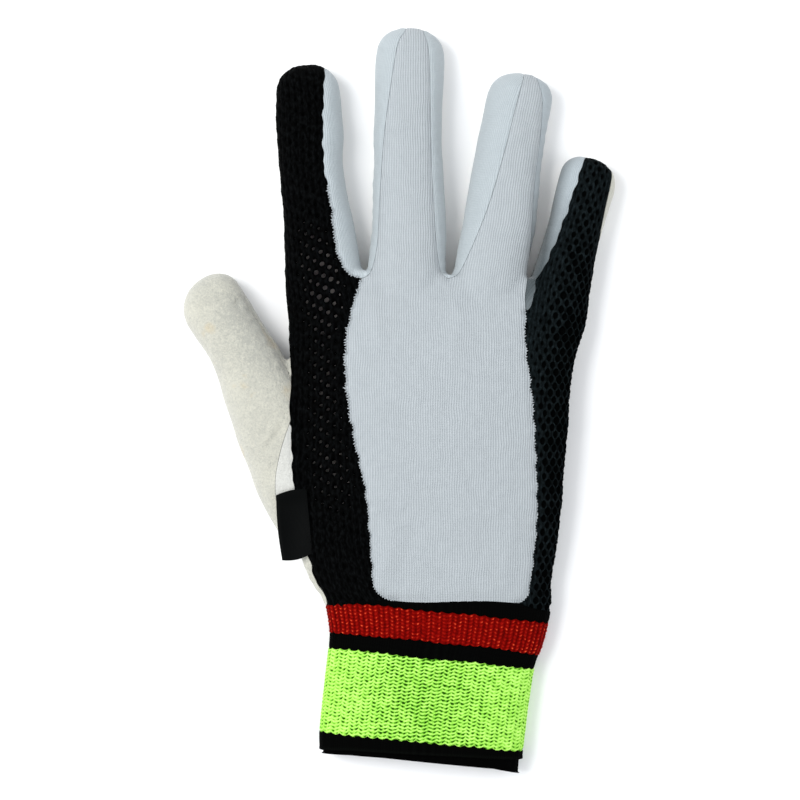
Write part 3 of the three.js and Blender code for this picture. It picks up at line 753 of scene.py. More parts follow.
def cloth_on_finger(at, left, right, apart):
    """Ribs run along the two fingers that a strip is sewn between, and up its walls. apart is how far
    the cloth on the left one is moved on, in mm, to tell the two apart in the material."""
    y = at[:, 1]
    middle_left = np.interp(y, *finger_line(left))
    middle_right = np.interp(y, *finger_line(right))
    on_left = at[:, 0] - middle_left < middle_right - at[:, 0]
    across = np.where(on_left, at[:, 0] - middle_left - at[:, 2] + apart,
                      at[:, 0] - middle_right + at[:, 2])
    return np.column_stack([across, y])


def sewn_panel(name, cloth, material, thickness, field):
    """Cuts one panel out of the skin where field is above 0, with its cloth directions."""
    rows, corners = cut(np.column_stack([points, cloth(points)]), triangles, field - SEAM_GAP / 2)
    piece = make_piece(name, rows, corners, material if isinstance(material, list) else [material])
    area = area_of(rows, corners)
    thicken(piece, thickness)
    return piece, area


white_back, back_area = sewn_panel("white_back", cloth_on_back, white_jersey, JERSEY_THICKNESS,
                                   upper_field("back_panel", points))
STRIPS = {"fourchette_index_middle": ("index", "middle", strip_jersey, 0),
          "fourchette_middle_ring": ("middle", "ring", strip_jersey, 0),
          "fourchette_ring_little": ("ring", "little", shaded_jersey, 20)}
for name, (left, right, jersey, apart) in STRIPS.items():
    strip, area = sewn_panel(f"strip_{left}_{right}", lambda at: cloth_on_finger(at, left, right, apart),
                             jersey, JERSEY_THICKNESS, upper_field(name, points))
    flat = (STRIP_WIDTH, area / MM / MM / STRIP_WIDTH / STRIP_SHARE)
    place(strip, [name], "fourchette_knit", flat, area)

# %% [markdown]
# ## Soft leather
# The thumb and the whole palm are a chamois leather with its nap outside. It is pale cream,
# quite matt, and mottled where the nap has been brushed both ways. The palm can't be seen from
# above, so it is plain. It comes up round the sides to its seam, which does show from there.

# %% Soft leather
LEATHER_THICKNESS = 1.2


def make_chamois(name, colour, brushed, stain):
    """Chamois: brushed patches, short streaks of nap and a few yellow stains. One patch, along the
    right of the thumb, is a painted shade: darker, and with a stronger grain."""
    material, tree = new_material(name)
    place_at = add_node(tree, "ShaderNodeTexCoord")
    where = place_at.outputs["Object"]
    patches = add_node(tree, "ShaderNodeTexNoise", inputs={"Vector": where, "Scale": 90.0, "Detail": 8.0,
                                                          "Roughness": 0.75})
    tone = add_node(tree, "ShaderNodeMapRange", inputs={"Value": patches.outputs[0], "From Min": 0.34,
                                                        "From Max": 0.66})
    specks = add_node(tree, "ShaderNodeTexNoise", inputs={"Vector": where, "Scale": 1000.0, "Detail": 5.0})
    nap = add_node(tree, "ShaderNodeTexNoise", inputs={"Vector": where, "Scale": 2000.0, "Detail": 4.0})
    grain = add_node(tree, "ShaderNodeMath", {"operation": "ADD"}, {0: specks.outputs[0], 1: nap.outputs[0]})
    centred = add_node(tree, "ShaderNodeMath", {"operation": "SUBTRACT"}, {0: grain.outputs[0], 1: 1.0})
    # Painted shade: a soft patch along the right of the thumb is made darker, and its grain stronger.
    spot = add_node(tree, "ShaderNodeMapping", {"vector_type": "TEXTURE"},
                    {"Vector": where, "Location": (-50 * MM, 24 * MM, 12 * MM),
                     "Rotation": (0, 0, math.radians(32)), "Scale": (13 * MM, 32 * MM, 30 * MM)})
    shade_patch = add_node(tree, "ShaderNodeTexGradient", {"gradient_type": "SPHERICAL"},
                       {"Vector": spot.outputs[0]})
    painted_shade = add_node(tree, "ShaderNodeMath", {"operation": "MULTIPLY_ADD"},
                      {0: shade_patch.outputs["Fac"], 1: -0.55, 2: 0.40})
    rougher = add_node(tree, "ShaderNodeMath", {"operation": "MULTIPLY_ADD"},
                       {0: shade_patch.outputs["Fac"], 1: 0.7, 2: 1.0})
    grainy = add_node(tree, "ShaderNodeMath", {"operation": "MULTIPLY_ADD"},
                      {0: centred.outputs[0], 1: rougher.outputs[0], 2: painted_shade.outputs[0]})
    mottled = add_node(tree, "ShaderNodeMath", {"operation": "MULTIPLY_ADD", "use_clamp": True},
                       {0: tone.outputs[0], 1: 0.45, 2: grainy.outputs[0]})
    tint = add_node(tree, "ShaderNodeMix", {"data_type": "RGBA"},
                    {"Factor": mottled.outputs[0], "A": srgb(brushed), "B": srgb(colour)})
    blots = add_node(tree, "ShaderNodeTexNoise", inputs={"Vector": where, "Scale": 75.0, "Detail": 6.0})
    blot = add_node(tree, "ShaderNodeMapRange", inputs={"Value": blots.outputs[0], "From Min": 0.60,
                                                        "From Max": 0.74, "To Max": 0.55})
    stained = add_node(tree, "ShaderNodeMix", {"data_type": "RGBA"},
                       {"Factor": blot.outputs[0], "A": tint.outputs["Result"], "B": srgb(stain)})
    humps = add_node(tree, "ShaderNodeTexNoise", inputs={"Vector": where, "Scale": 420.0, "Detail": 3.0})
    height = add_node(tree, "ShaderNodeMath", {"operation": "MULTIPLY_ADD"},
                      {0: humps.outputs[0], 1: 1.2, 2: nap.outputs[0]})
    bump = add_node(tree, "ShaderNodeBump",
                    inputs={"Height": height.outputs[0], "Distance": 0.42 * MM, "Strength": 0.9})
    shader = add_node(tree, "ShaderNodeBsdfPrincipled",
                      inputs={"Base Color": stained.outputs["Result"], "Roughness": 0.9,
                              "Sheen Weight": 0.35, "Sheen Roughness": 0.6, "Normal": bump.outputs[0]})
    finish_material(tree, shader)
    return material


def plain_cloth(at):
    return at[:, :2]


chamois = make_chamois("cream_chamois", "#C0BEB0", "#9E9E95", "#BD9E5C")
pale_chamois = make_chamois("pale_chamois", "#C6C6C0", "#B2B2AC", "#B2B2AC")
flesh_side = make_chamois("leather_flesh_side", "#CFC8C4", "#C2BAB6", "#C2BAB6")
thumb_side = inside_distance(points, THUMB_OUTLINE)
thumb_back_field = upper_field("thumb_back_panel", points)
uppers = np.max([upper_field(name, points) for name in OUTLINES if name != "thumb_back_panel"], axis=0)
in_hand = inside_distance(points, HAND_OUTLINE)
LEATHER = {
    "thumb_back": ("thumb_back_panel", thumb_back_field, (46, 92)),
    "thumb_palm": ("thumb_palm_panel", np.minimum(thumb_side, -thumb_back_field), (44, 94)),
    "palm": ("palm_panel", np.minimum(np.minimum(-uppers, -thumb_side), in_hand), (130, 205)),
}
for name, (node, field, flat) in LEATHER.items():
    panel, area = sewn_panel(f"{name}_leather", plain_cloth, [chamois, flesh_side],
                             LEATHER_THICKNESS, field)
    place(panel, [node], "chamois_leather", flat, area, rests_on=table)
gusset, area = sewn_panel("thumb_gusset_leather", plain_cloth, pale_chamois, LEATHER_THICKNESS,
                          upper_field("thumb_gusset", points))
place(gusset, ["thumb_gusset"], "chamois_leather", (10.5, 20), area)

# %% [markdown]
# ## Wrapping a flat sheet round the skin
# Both sides of the glove are a black knitted mesh with oval holes in slanted rows. A mesh made
# as a bump would stay shut, and these holes show the leather behind, so they are cut for real.
# One hole with the knit round it is modelled as a small six-sided tile. The tile is repeated over
# a flat sheet, which is wrapped round the finger and hand by following the real girth.

# %% Wrapping a flat sheet round the skin
# x, y and z along the middle of each side of the glove, from the wrist to the fingertip
INDEX_AXIS = np.array([(-14.0, -72.0, 7.0), (-19.0, -58.0, 7.5), (-22.0, -45.0, 8.5), (-23.5, -20.0, 9.0),
                       (-23.5, 0.0, 9.0), (-23.0, 22.0, 8.0), (-24.4, 38.0, 7.0), (-25.3, 46.1, 6.6),
                       (-26.5, 56.6, 6.4), (-27.9, 67.0, 6.2), (-28.9, 77.4, 6.0), (-29.1, 88.4, 5.9),
                       (-29.6, 98.6, 5.6), (-30.2, 105.6, 5.4), (-30.3, 107.6, 5.4)])
LITTLE_AXIS = np.array([(42.0, -76.0, 7.0), (43.0, -60.0, 7.5), (44.5, -45.0, 8.5), (45.5, -20.0, 9.0),
                        (47.0, 0.0, 9.0), (49.1, 20.8, 8.0), (51.4, 34.5, 6.6), (53.8, 44.8, 6.1),
                        (56.0, 53.2, 5.9), (58.2, 61.4, 5.7), (60.7, 70.4, 5.5), (62.2, 76.4, 5.4),
                        (62.5, 78.2, 5.4)])
CHART_STEP = 0.5
RAY_STEP = 3  # degrees between the rays that find the girth
CHART_HALF_WIDTH = 40.0
TIP_STATIONS = (4.0, 2.6, 1.6, 0.9, 0.45, 0.2, 0.07, 0.02)  # sections this far from the tip


def girth_chart(axis):
    """Maps a flat sheet onto the skin round an axis of x, y, z rows, from the wrist to a tip.
    u runs round the girth from its top, and v along the top, both in mm."""
    stations = smooth_rows(axis, 1.2)
    ahead = (stations[-1] - stations[-2]) * (1, 1, 0)
    ahead /= np.linalg.norm(ahead)
    tip = np.array(skin_tree.ray_cast(Vector(stations[-1]), Vector(ahead))[0])
    left_over = np.linalg.norm(tip - stations[-1])
    stations = np.vstack([stations] + [tip - ahead * back for back in TIP_STATIONS if back < left_over])
    along = np.gradient(stations[:, :2], axis=0)
    along /= np.linalg.norm(along, axis=1)[:, None]
    angles = np.radians(np.arange(262, -83, -RAY_STEP))
    us = np.arange(-CHART_HALF_WIDTH, CHART_HALF_WIDTH + 0.1, CHART_STEP)
    table_rows, tops, limits = [], [], []
    for centre, (run_x, run_y) in zip(stations, along):
        hits = []
        for angle in angles:
            way = Vector((run_y * math.cos(angle), -run_x * math.cos(angle), math.sin(angle)))
            hit = skin_tree.ray_cast(Vector(centre), way)[0]
            hits.append(tuple(hit) if hit else (hits[-1] if hits else tuple(centre)))
        hits = np.array(hits)
        lengths = np.concatenate([[0], np.cumsum(np.linalg.norm(np.diff(hits, axis=0), axis=1))])
        top = np.interp(math.pi / 2, angles[::-1], lengths[::-1])
        girth = lengths - top
        table_rows.append(np.column_stack([np.interp(us, girth, hits[:, k]) for k in range(3)]))
        tops.append([np.interp(0, girth, hits[:, k]) for k in range(3)])
        limits.append([girth[0], girth[-1]])
    table_rows, limits = np.array(table_rows), np.array(limits)
    steps = np.linalg.norm(np.diff(np.array(tops), axis=0), axis=1)
    reach = np.concatenate([[0], np.cumsum(steps)])
    vs = np.arange(0, reach[-1], CHART_STEP)
    at = np.interp(vs, reach, np.arange(len(reach)))
    low = np.minimum(at.astype(int), len(reach) - 2)
    share = (at - low)[:, None, None]
    grid = table_rows[low] * (1 - share) + table_rows[low + 1] * share
    limit = limits[low] * (1 - share[:, 0]) + limits[low + 1] * share[:, 0]
    normal = np.cross(np.gradient(grid, axis=1), np.gradient(grid, axis=0))
    normal /= np.maximum(np.linalg.norm(normal, axis=2), 1e-9)[:, :, None]
    return {"grid": np.concatenate([grid, normal], axis=2), "length": vs[-1], "limit": limit}


def on_chart(chart, sheet):
    """Points and normals of the skin for u and v of a flat sheet, and how far inside the chart."""
    grid = chart["grid"]
    u = np.clip((sheet[:, 0] + CHART_HALF_WIDTH) / CHART_STEP, 0, grid.shape[1] - 1.001)
    v = np.clip(sheet[:, 1] / CHART_STEP, 0, grid.shape[0] - 1.001)
    i, j = u.astype(int), v.astype(int)
    s, t = (u - i)[:, None], (v - j)[:, None]
    value = ((grid[j, i] * (1 - s) + grid[j, i + 1] * s) * (1 - t)
             + (grid[j + 1, i] * (1 - s) + grid[j + 1, i + 1] * s) * t)
    normal = value[:, 3:] / np.maximum(np.linalg.norm(value[:, 3:], axis=1), 1e-9)[:, None]
    low, high = chart["limit"][j].T
    margin = np.minimum(np.minimum(sheet[:, 0] - low, high - sheet[:, 0]),
                        np.minimum(sheet[:, 1], chart["length"] - sheet[:, 1]) + 0.9)
    return value[:, :3], normal, margin


index_chart, little_chart = girth_chart(INDEX_AXIS), girth_chart(LITTLE_AXIS)
print("length of the index and little sheets, mm:", index_chart["length"], little_chart["length"])

# %% [markdown]
# ## The mesh tile
# The holes stand in a slanted lattice, so the knit that belongs to one hole is a hexagon whose
# sides fit its neighbours. Rings of points run from the hole's edge out to the hexagon. The knit
# is highest between two holes and rolls down into each, as threads do round a real eyelet. Where
# the mesh is stretched over the knuckle its holes stand open and show the leather. Where it is
# slack they close to dimples, and the threads bunch up in lumpy ribs.

# %% The mesh tile
INDEX_LATTICE = np.array([(2.2, -1.40), (0.0, 3.94)])  # the two steps from a hole to its neighbours
LITTLE_LATTICE = np.array([(1.46, 2.27), (1.46, -2.27)])
SIDE_POINTS = 3
LEAST_OPEN = 0.06  # a closed hole still has this share of its width
STRAY = 0.16  # how far the rows of holes wander, in mm
# Place between the hole's edge at 0 and the tile's edge at 1, and height of the knit there in mm
TILE_RINGS = [(-0.08, -0.75), (0.0, -0.40), (0.32, -0.12), (0.66, -0.02), (1.0, 0.0)]


def tile_edge(lattice):
    """Points round the tile of a lattice, evenly along each side."""
    first, second = lattice
    ways = np.array([first, first + second, second, -first, -first - second, -second])
    ways = ways[np.argsort(np.arctan2(ways[:, 1], ways[:, 0]))]
    corners = [np.linalg.solve(np.array([a, b]), [a @ a / 2, b @ b / 2])
               for a, b in zip(ways, np.roll(ways, -1, axis=0))]
    return np.array([start + (end - start) * k / SIDE_POINTS
                     for start, end in zip(corners, np.roll(corners, -1, axis=0))
                     for k in range(SIDE_POINTS)])


def mesh_panel(name, node, chart, lattice, hole, slant, stretch, floor, lumps, thread):
    """Covers one panel with pierced tiles on a lattice. hole is its width and height, turned by slant.
    stretch has rows of y, x and half-width of the stretched part, and how open its holes are.
    floor closes every hole with a deep dimple. lumps is the height of the ribs in mm."""
    first, second = lattice
    edge = tile_edge(lattice)
    angle = np.arctan2(edge[:, 1], edge[:, 0])
    turned = angle - slant
    radius = 1 / np.hypot(np.cos(turned) / (hole[0] / 2), np.sin(turned) / (hole[1] / 2))
    rim = np.column_stack([radius * np.cos(angle), radius * np.sin(angle)])
    rng = np.random.default_rng(11)
    grid = np.array([i * first + j * second for i in range(-60, 61) for j in range(-110, 111)])
    grid = grid[(np.abs(grid[:, 0]) < CHART_HALF_WIDTH) & (grid[:, 1] > 0) & (grid[:, 1] < chart["length"])]
    centres, _, margin = on_chart(chart, grid)
    reach = np.minimum(upper_field(node, centres), margin)
    grid, reach = grid[reach > -2.6], reach[reach > -2.6]
    centres, _, _ = on_chart(chart, grid)
    stretch = np.array(stretch)
    middle, half, most = (np.interp(centres[:, 1], stretch[:, 0], stretch[:, k]) for k in (1, 2, 3))
    open_share = step_up(reach, 0.4, 2.4) * most * np.exp(-np.abs((centres[:, 0] - middle) / half) ** 3)
    open_share *= rng.uniform(0.72, 1.12, len(grid))
    sheet_rows, heights = [], []
    if floor:
        sheet_rows.append(np.broadcast_to(grid[:, None, :], (len(grid), *edge.shape)))
        heights.append(np.broadcast_to(-(0.35 + 0.75 * open_share)[:, None], sheet_rows[0].shape[:2]))
    for place_on_tile, height in TILE_RINGS:
        scale = np.clip(open_share, LEAST_OPEN, None)[:, None, None]
        ring_points = rim * scale * (1 - place_on_tile) + edge * place_on_tile
        sheet_rows.append(grid[:, None, :] + ring_points)
        heights.append(np.broadcast_to(height * (0.25 + 0.75 * open_share)[:, None], ring_points.shape[:2]))
    flat = np.stack(sheet_rows, axis=1)
    heights = np.stack(heights, axis=1).ravel()
    count, levels, around, _ = flat.shape
    flat = flat.reshape(-1, 2)
    stray = STRAY * np.column_stack([np.sin(flat[:, 1] / 5.3 + 1) + np.sin(flat[:, 0] / 3.1),
                                     np.sin(flat[:, 0] / 4.7) + np.sin(flat[:, 1] / 7.9)])
    place_at, normal, margin = on_chart(chart, flat + stray)
    rib = np.cos(2 * np.pi * flat[:, 0] / first[0] + np.pi)
    rib *= 0.6 + 0.4 * np.sin(flat[:, 1] * 1.6 + flat[:, 0])
    stand = heights + lumps * (rib + 0.5 * waves(np.column_stack([flat, heights]), 3.2, 21))
    rows = np.column_stack([place_at + normal * stand[:, None], flat, place_at, margin, stand])
    tile = np.arange(count)[:, None, None] * levels * around
    level = np.arange(levels - 1)[None, :, None] * around
    step = np.arange(around)[None, None, :]
    a = tile + level + step
    b = tile + level + (step + 1) % around
    corners = np.concatenate([np.stack([a, a + around, b + around], -1).reshape(-1, 3),
                              np.stack([a, b + around, b], -1).reshape(-1, 3)])
    field = np.minimum(upper_field(node, rows[:, 5:8]) - SEAM_GAP / 2, rows[:, 8])
    rows, corners = cut(rows, corners, field)
    area = len(grid) * abs(first[0] * second[1] - first[1] * second[0]) * MM * MM
    piece = make_piece(name, rows[:, :5], corners, [thread], sharp=70)
    piece.data.attributes.new("stand", "FLOAT", "POINT").data.foreach_set("value", rows[:, 9])
    make_active(piece)
    edit_all(bpy.ops.mesh.remove_doubles, threshold=0.03 * MM)
    print(name, "holes:", int((open_share > 0.3).sum()))
    return piece, area


print("width and height of the two tiles, mm:", np.ptp(tile_edge(INDEX_LATTICE), axis=0).round(2),
      np.ptp(tile_edge(LITTLE_LATTICE), axis=0).round(2))

# %% [markdown]
# ## The two mesh panels
# The thread is a matt black polyester. The index side is stretched over the knuckle and slack
# towards the wrist and the fingertip. The little side has rounder holes that all stay floored,
# and its ribs are painted greyer, a stronger painted highlight than on the index side.

# %% The two mesh panels
THREAD_STEP = 0.42  # distance between the rows of thread


def make_thread(name, deep, dark, bright, ridge_foot):
    """Black polyester thread, coloured by its height: black as painted shade down in the dimples, and grey
    streaks as painted highlight on the ribs.
    """
    material, tree = new_material(name)
    cloth = add_node(tree, "ShaderNodeUVMap", {"uv_map": "cloth"})
    split = add_node(tree, "ShaderNodeSeparateXYZ", inputs={0: cloth.outputs["UV"]})
    ribs = add_node(tree, "ShaderNodeMath", {"operation": "MULTIPLY"},
                    {0: split.outputs["Y"], 1: 2 * math.pi / THREAD_STEP})
    wave = add_node(tree, "ShaderNodeMath", {"operation": "SINE"}, {0: ribs.outputs[0]})
    longer = add_node(tree, "ShaderNodeVectorMath", {"operation": "MULTIPLY"},
                      {0: cloth.outputs["UV"], 1: (1.0, 0.4, 1.0)})
    grain = add_node(tree, "ShaderNodeTexNoise",
                     inputs={"Vector": longer.outputs[0], "Scale": 1.5, "Detail": 4.0, "Roughness": 0.65})
    height = add_node(tree, "ShaderNodeMath", {"operation": "MULTIPLY_ADD"},
                      {0: grain.outputs[0], 1: 3.0, 2: wave.outputs[0]})
    bump = add_node(tree, "ShaderNodeBump",
                    inputs={"Height": height.outputs[0], "Distance": 0.09 * MM, "Strength": 0.8})
    # Painted light: the colour follows the knit's height, from painted shade in the dimples to a painted
    # highlight on the ribs.
    stand = add_node(tree, "ShaderNodeAttribute", {"attribute_name": "stand"})
    raised = add_node(tree, "ShaderNodeMapRange",
                      inputs={"Value": stand.outputs["Fac"], "From Min": ridge_foot, "From Max": 0.05})
    streaks = add_node(tree, "ShaderNodeMapRange", inputs={"Value": grain.outputs[0], "From Min": 0.44,
                                                           "From Max": 0.72})
    ridge_highlight = add_node(tree, "ShaderNodeMix", {"data_type": "RGBA"},
                     {"Factor": streaks.outputs[0], "A": srgb(dark), "B": srgb(bright)})
    tint = add_node(tree, "ShaderNodeMix", {"data_type": "RGBA"},
                    {"Factor": raised.outputs[0], "A": srgb(deep), "B": ridge_highlight.outputs["Result"]})
    shader = add_node(tree, "ShaderNodeBsdfPrincipled",
                      inputs={"Base Color": tint.outputs["Result"], "Roughness": 0.6,
                              "Specular IOR Level": 0.008, "Normal": bump.outputs[0]})
    finish_material(tree, shader)
    return material


# Colours: painted shade in the dimples, the ribs' painted highlight from dark to bright streak, and the
# height where that highlight starts.
index_thread = make_thread("black_polyester_mesh", "#010101", "#030303", "#101213", -0.35)
little_thread = make_thread("black_open_mesh", "#030404", "#0D1213", "#20282B", -0.2)
# y, x and half-width in mm of the stretched part, and how open its holes are
INDEX_STRETCH = [
    (-46.0, -19.0, 9.0, 0.10), (-38.0, -19.8, 5.0, 0.35), (-32.5, -21.0, 6.0, 0.72),
    (-26.0, -21.8, 7.0, 0.82), (-16.0, -24.0, 7.0, 0.80), (-6.5, -24.4, 6.0, 0.74),
    (3.3, -24.8, 5.0, 0.84), (9.8, -25.4, 5.0, 0.96),
    (16.3, -26.0, 4.6, 0.84), (22.8, -25.4, 5.4, 0.86), (29.0, -25.4, 6.6, 1.0), (35.8, -25.2, 7.2, 1.15),
    (42.3, -25.4, 7.2, 1.15), (48.8, -27.0, 6.2, 0.98), (55.2, -29.0, 5.2, 0.75), (60.0, -30.3, 4.2, 0.45),
    (70.0, -30.5, 4.5, 0.22), (98.0, -30.0, 7.0, 0.24), (106.0, -30.0, 7.0, 0.08)]
LITTLE_STRETCH = [(-80.0, 50.0, 12.0, 1.0), (20.0, 55.0, 10.0, 1.0), (45.0, 59.5, 8.0, 0.85),
                  (60.0, 62.0, 7.0, 0.62), (80.0, 66.0, 7.0, 0.5)]
index_mesh, area = mesh_panel("index_side_mesh", "index_mesh_panel", index_chart,
                              INDEX_LATTICE, (1.75, 1.45), math.radians(38),
                              INDEX_STRETCH, False, 0.24, index_thread)
place(index_mesh, ["index_mesh_panel"], "black_mesh", (48, 185), area)
little_mesh, area = mesh_panel("little_side_mesh", "little_mesh_panel", little_chart,
                               LITTLE_LATTICE, (1.95, 2.9), 0.0,
                               LITTLE_STRETCH, True, 0.13, little_thread)
place(little_mesh, ["little_mesh_panel"], "black_mesh", (42, 160), area)

# %% [markdown]
# ## The ribbed cuff
# The cuff is one elastic knitted tube. The yarn changes colour on the way: black where it is sewn
# on, red, black, lime, and black again at the hem. Its red and lime yarn is looped, so it stands
# up in plump little staggered loops with dark gaps between. The tube is drawn as a fine grid that
# follows the sections of the cuff, and the loops are raised on that grid.

# %% The ribbed cuff
# Left x and y, right x and y, height
CUFF = np.array([
    (-25.6, -61.0, 49.4, -65.0, 16.9), (-24.2, -66.6, 48.6, -71.2, 16.2), (-23.0, -74.0, 46.4, -80.0, 15.4),
    (-23.2, -80.4, 43.9, -86.6, 15.0), (-24.5, -92.0, 41.9, -98.4, 15.0),
    (-26.0, -106.0, 40.2, -112.2, 15.2), (-26.2, -110.5, 39.7, -116.5, 15.2),
    (-25.9, -116.0, 39.2, -122.6, 15.2),
])
CUFF_COLUMNS = 468
RIB = 3.2  # distance between the ribs
CUFF_ROW = 0.5  # distance between the rows of the cuff's grid
# x and y of the lines across the cuff
CUFF_LINES = {
    "red_top": [(-25, -66.5), (-16.6, -65.6), (-4.9, -66.2), (1, -67.1), (12.7, -68.2), (24.4, -69.0),
                (30.2, -70.0), (41.9, -71.3), (48.1, -72.3)],
    "red_bottom": [(-22.4, -75.5), (-16.6, -75.7), (-4.9, -76.6), (6.8, -77.4), (12.7, -78.4),
                   (24.4, -79.3), (30.2, -79.9), (36.1, -81.0), (46.1, -83.1)],
    "lime_top": [(-22.4, -80.7), (-16.6, -80.6), (-4.9, -81.6), (1, -82.5), (6.8, -83.3), (24.4, -84.5),
                 (30.2, -85.6), (36.1, -86.3), (44.2, -87.5)],
    "lime_bottom": [(-25, -107.6), (-16.6, -108.4), (-4.9, -109.2), (6.8, -110.2), (18.5, -111.5),
                    (24.4, -111.8), (30.2, -112.9), (36.1, -113.7), (40, -114)],
    "hem_layer": [(-26, -113.8), (-16.6, -113.4), (1, -114.2), (18.5, -115.0), (30.2, -115.8),
                  (40, -116.4)],
    "mouth": [(-26, -115.1), (-16.6, -115.1), (-4.9, -115.8), (6.8, -117.0), (18.5, -118.2),
              (30.2, -119.5), (36.1, -120.9), (40, -121.8)],
}

cuff_grid = []
for left_x, left_y, right_x, right_y, height in smooth_rows(CUFF, CUFF_ROW):
    left, right = np.array([left_x, left_y]), np.array([right_x, right_y])
    width = np.hypot(*(right - left))
    angles = np.linspace(0, 2 * np.pi, CUFF_COLUMNS, endpoint=False)
    fine = np.interp(angles, np.linspace(0, 2 * np.pi, RING_POINTS + 1),
                     np.arange(RING_POINTS + 1.0))
    shape = ring((left + right) / 2, (right - left) / width, width / 2, height)
    shape = np.vstack([shape, shape[:1]])
    cuff_grid.append(np.column_stack([np.interp(fine, np.arange(RING_POINTS + 1), shape[:, k])
                                      for k in range(3)]))
cuff_grid = np.array(cuff_grid)
middle = cuff_grid[len(cuff_grid) // 2]
sides = np.linalg.norm(np.roll(middle, -1, axis=0) - middle, axis=1)
around_cuff = np.concatenate([[0], np.cumsum(sides)[:-1]])
CUFF_GIRTH = sides.sum()
rib_count = round(CUFF_GIRTH / RIB)
around_cuff *= rib_count * RIB / CUFF_GIRTH


def line_rows(line):
    """For every column of the cuff, the row number where a line across it passes."""
    out = np.empty(CUFF_COLUMNS)
    line = np.array(line)
    line = line[np.argsort(line[:, 0])]
    for k in range(CUFF_COLUMNS):
        path = cuff_grid[:, k]
        ahead = np.interp(path[:, 0], line[:, 0], line[:, 1]) - path[:, 1]
        out[k] = np.interp(0, ahead, np.arange(len(path)))
    return out


print(f"girth of the cuff: {CUFF_GIRTH:.1f} mm, {rib_count} ribs")

# %% [markdown]
# ## Patterns of the knit
# Each pattern gives a height from 0 to 1 for a place round and along the cuff, and the yarn's
# colour follows it, with painted shade low down and a painted highlight on top. The lime yarn is
# knitted in plump loops with a small slot under each, and the red in tighter ones of which only
# the tips stand out. The black bands are low, close ribs.

# %% Patterns of the knit
LOOP_ACROSS = 1.6
LOOP_ALONG = 1.16


def knit_cells(around, along):
    """Where each point lies in its loop, from the loop's middle, and two chances for the loop.
    The columns of loops are staggered by half a row."""
    column = np.floor(around / LOOP_ACROSS)
    across = around / LOOP_ACROSS - column - 0.5
    drift = 0.22 * np.sin(column * 2.1 + along / 6.3)
    down = along / LOOP_ALONG + np.where(column % 2 == 0, 0.0, 0.5) + 0.22 * np.abs(across) + drift
    row = np.floor(down)
    chance = np.modf(np.abs(np.sin(column * 12.9898 + row * 78.233) * 43758.5453))[0]
    other = np.modf(np.abs(np.sin(column * 39.425 + row * 11.135) * 24634.6345))[0]
    return across + 0.16 * (other - 0.5), down - row - 0.5, chance, other


def looped(around, along):
    """Height from 0 to 1 of plump loops, with a small slot under each, which the yarn paints dark as shade.
    """
    across, down, chance, other = knit_cells(around, along)
    slot = np.exp(-(across / (0.18 + 0.09 * other)) ** 2 - (down / (0.19 + 0.07 * chance)) ** 2)
    stretched = 0.5 - 0.5 * np.cos(4 * np.pi * around / CUFF_GIRTH)
    depth = (0.30 + 1.05 * chance) * (0.45 + 0.65 * stretched)
    line = 0.16 * np.exp(-(down / 0.22) ** 2) * (0.5 + stretched)
    crown = 0.10 * np.cos(2 * np.pi * down) * np.cos(np.pi * across)
    return np.clip(0.83 - crown - depth * slot - line - 0.18 * other, 0, 1)


def dotted(around, along):
    """Height from 0 to 1 of tight loops, of which only the small tips stand out of their ribs."""
    across, down, chance, other = knit_cells(around, along)
    tip = np.exp(-(across / 0.27) ** 2 - ((down + 0.1 * other) / 0.24) ** 2)
    rib = 0.5 + 0.5 * np.cos(2 * np.pi * across)
    return np.clip(0.24 + 0.18 * rib + (0.26 + 0.42 * chance) * tip - 0.1 * other, 0, 1)


def fine_rib(around, along):
    """Low, close ribs."""
    return 0.12 + 0.10 * np.cos(4 * np.pi * around / LOOP_ACROSS) + 0.05 * np.cos(2 * np.pi * along / 0.7)


print("loops round the cuff:", round(CUFF_GIRTH / LOOP_ACROSS))

# %% [markdown]
# ## A band of the cuff
# A band is the stretch of the cuff's grid between two lines across it. Its knit is raised outwards,
# its edges are rounded, and it is closed inside to a wall, so that it is a real ring of cloth.

# %% A band of the cuff
LOOP_RELIEF = 0.5
RIB_RELIEF = 0.14
BAND_SINK = 0.3  # how far the foot of the knit lies under the cuff's measured surface
BAND_WALL = 1.5
BAND_EDGE = 0.7  # width of the rounding along both edges


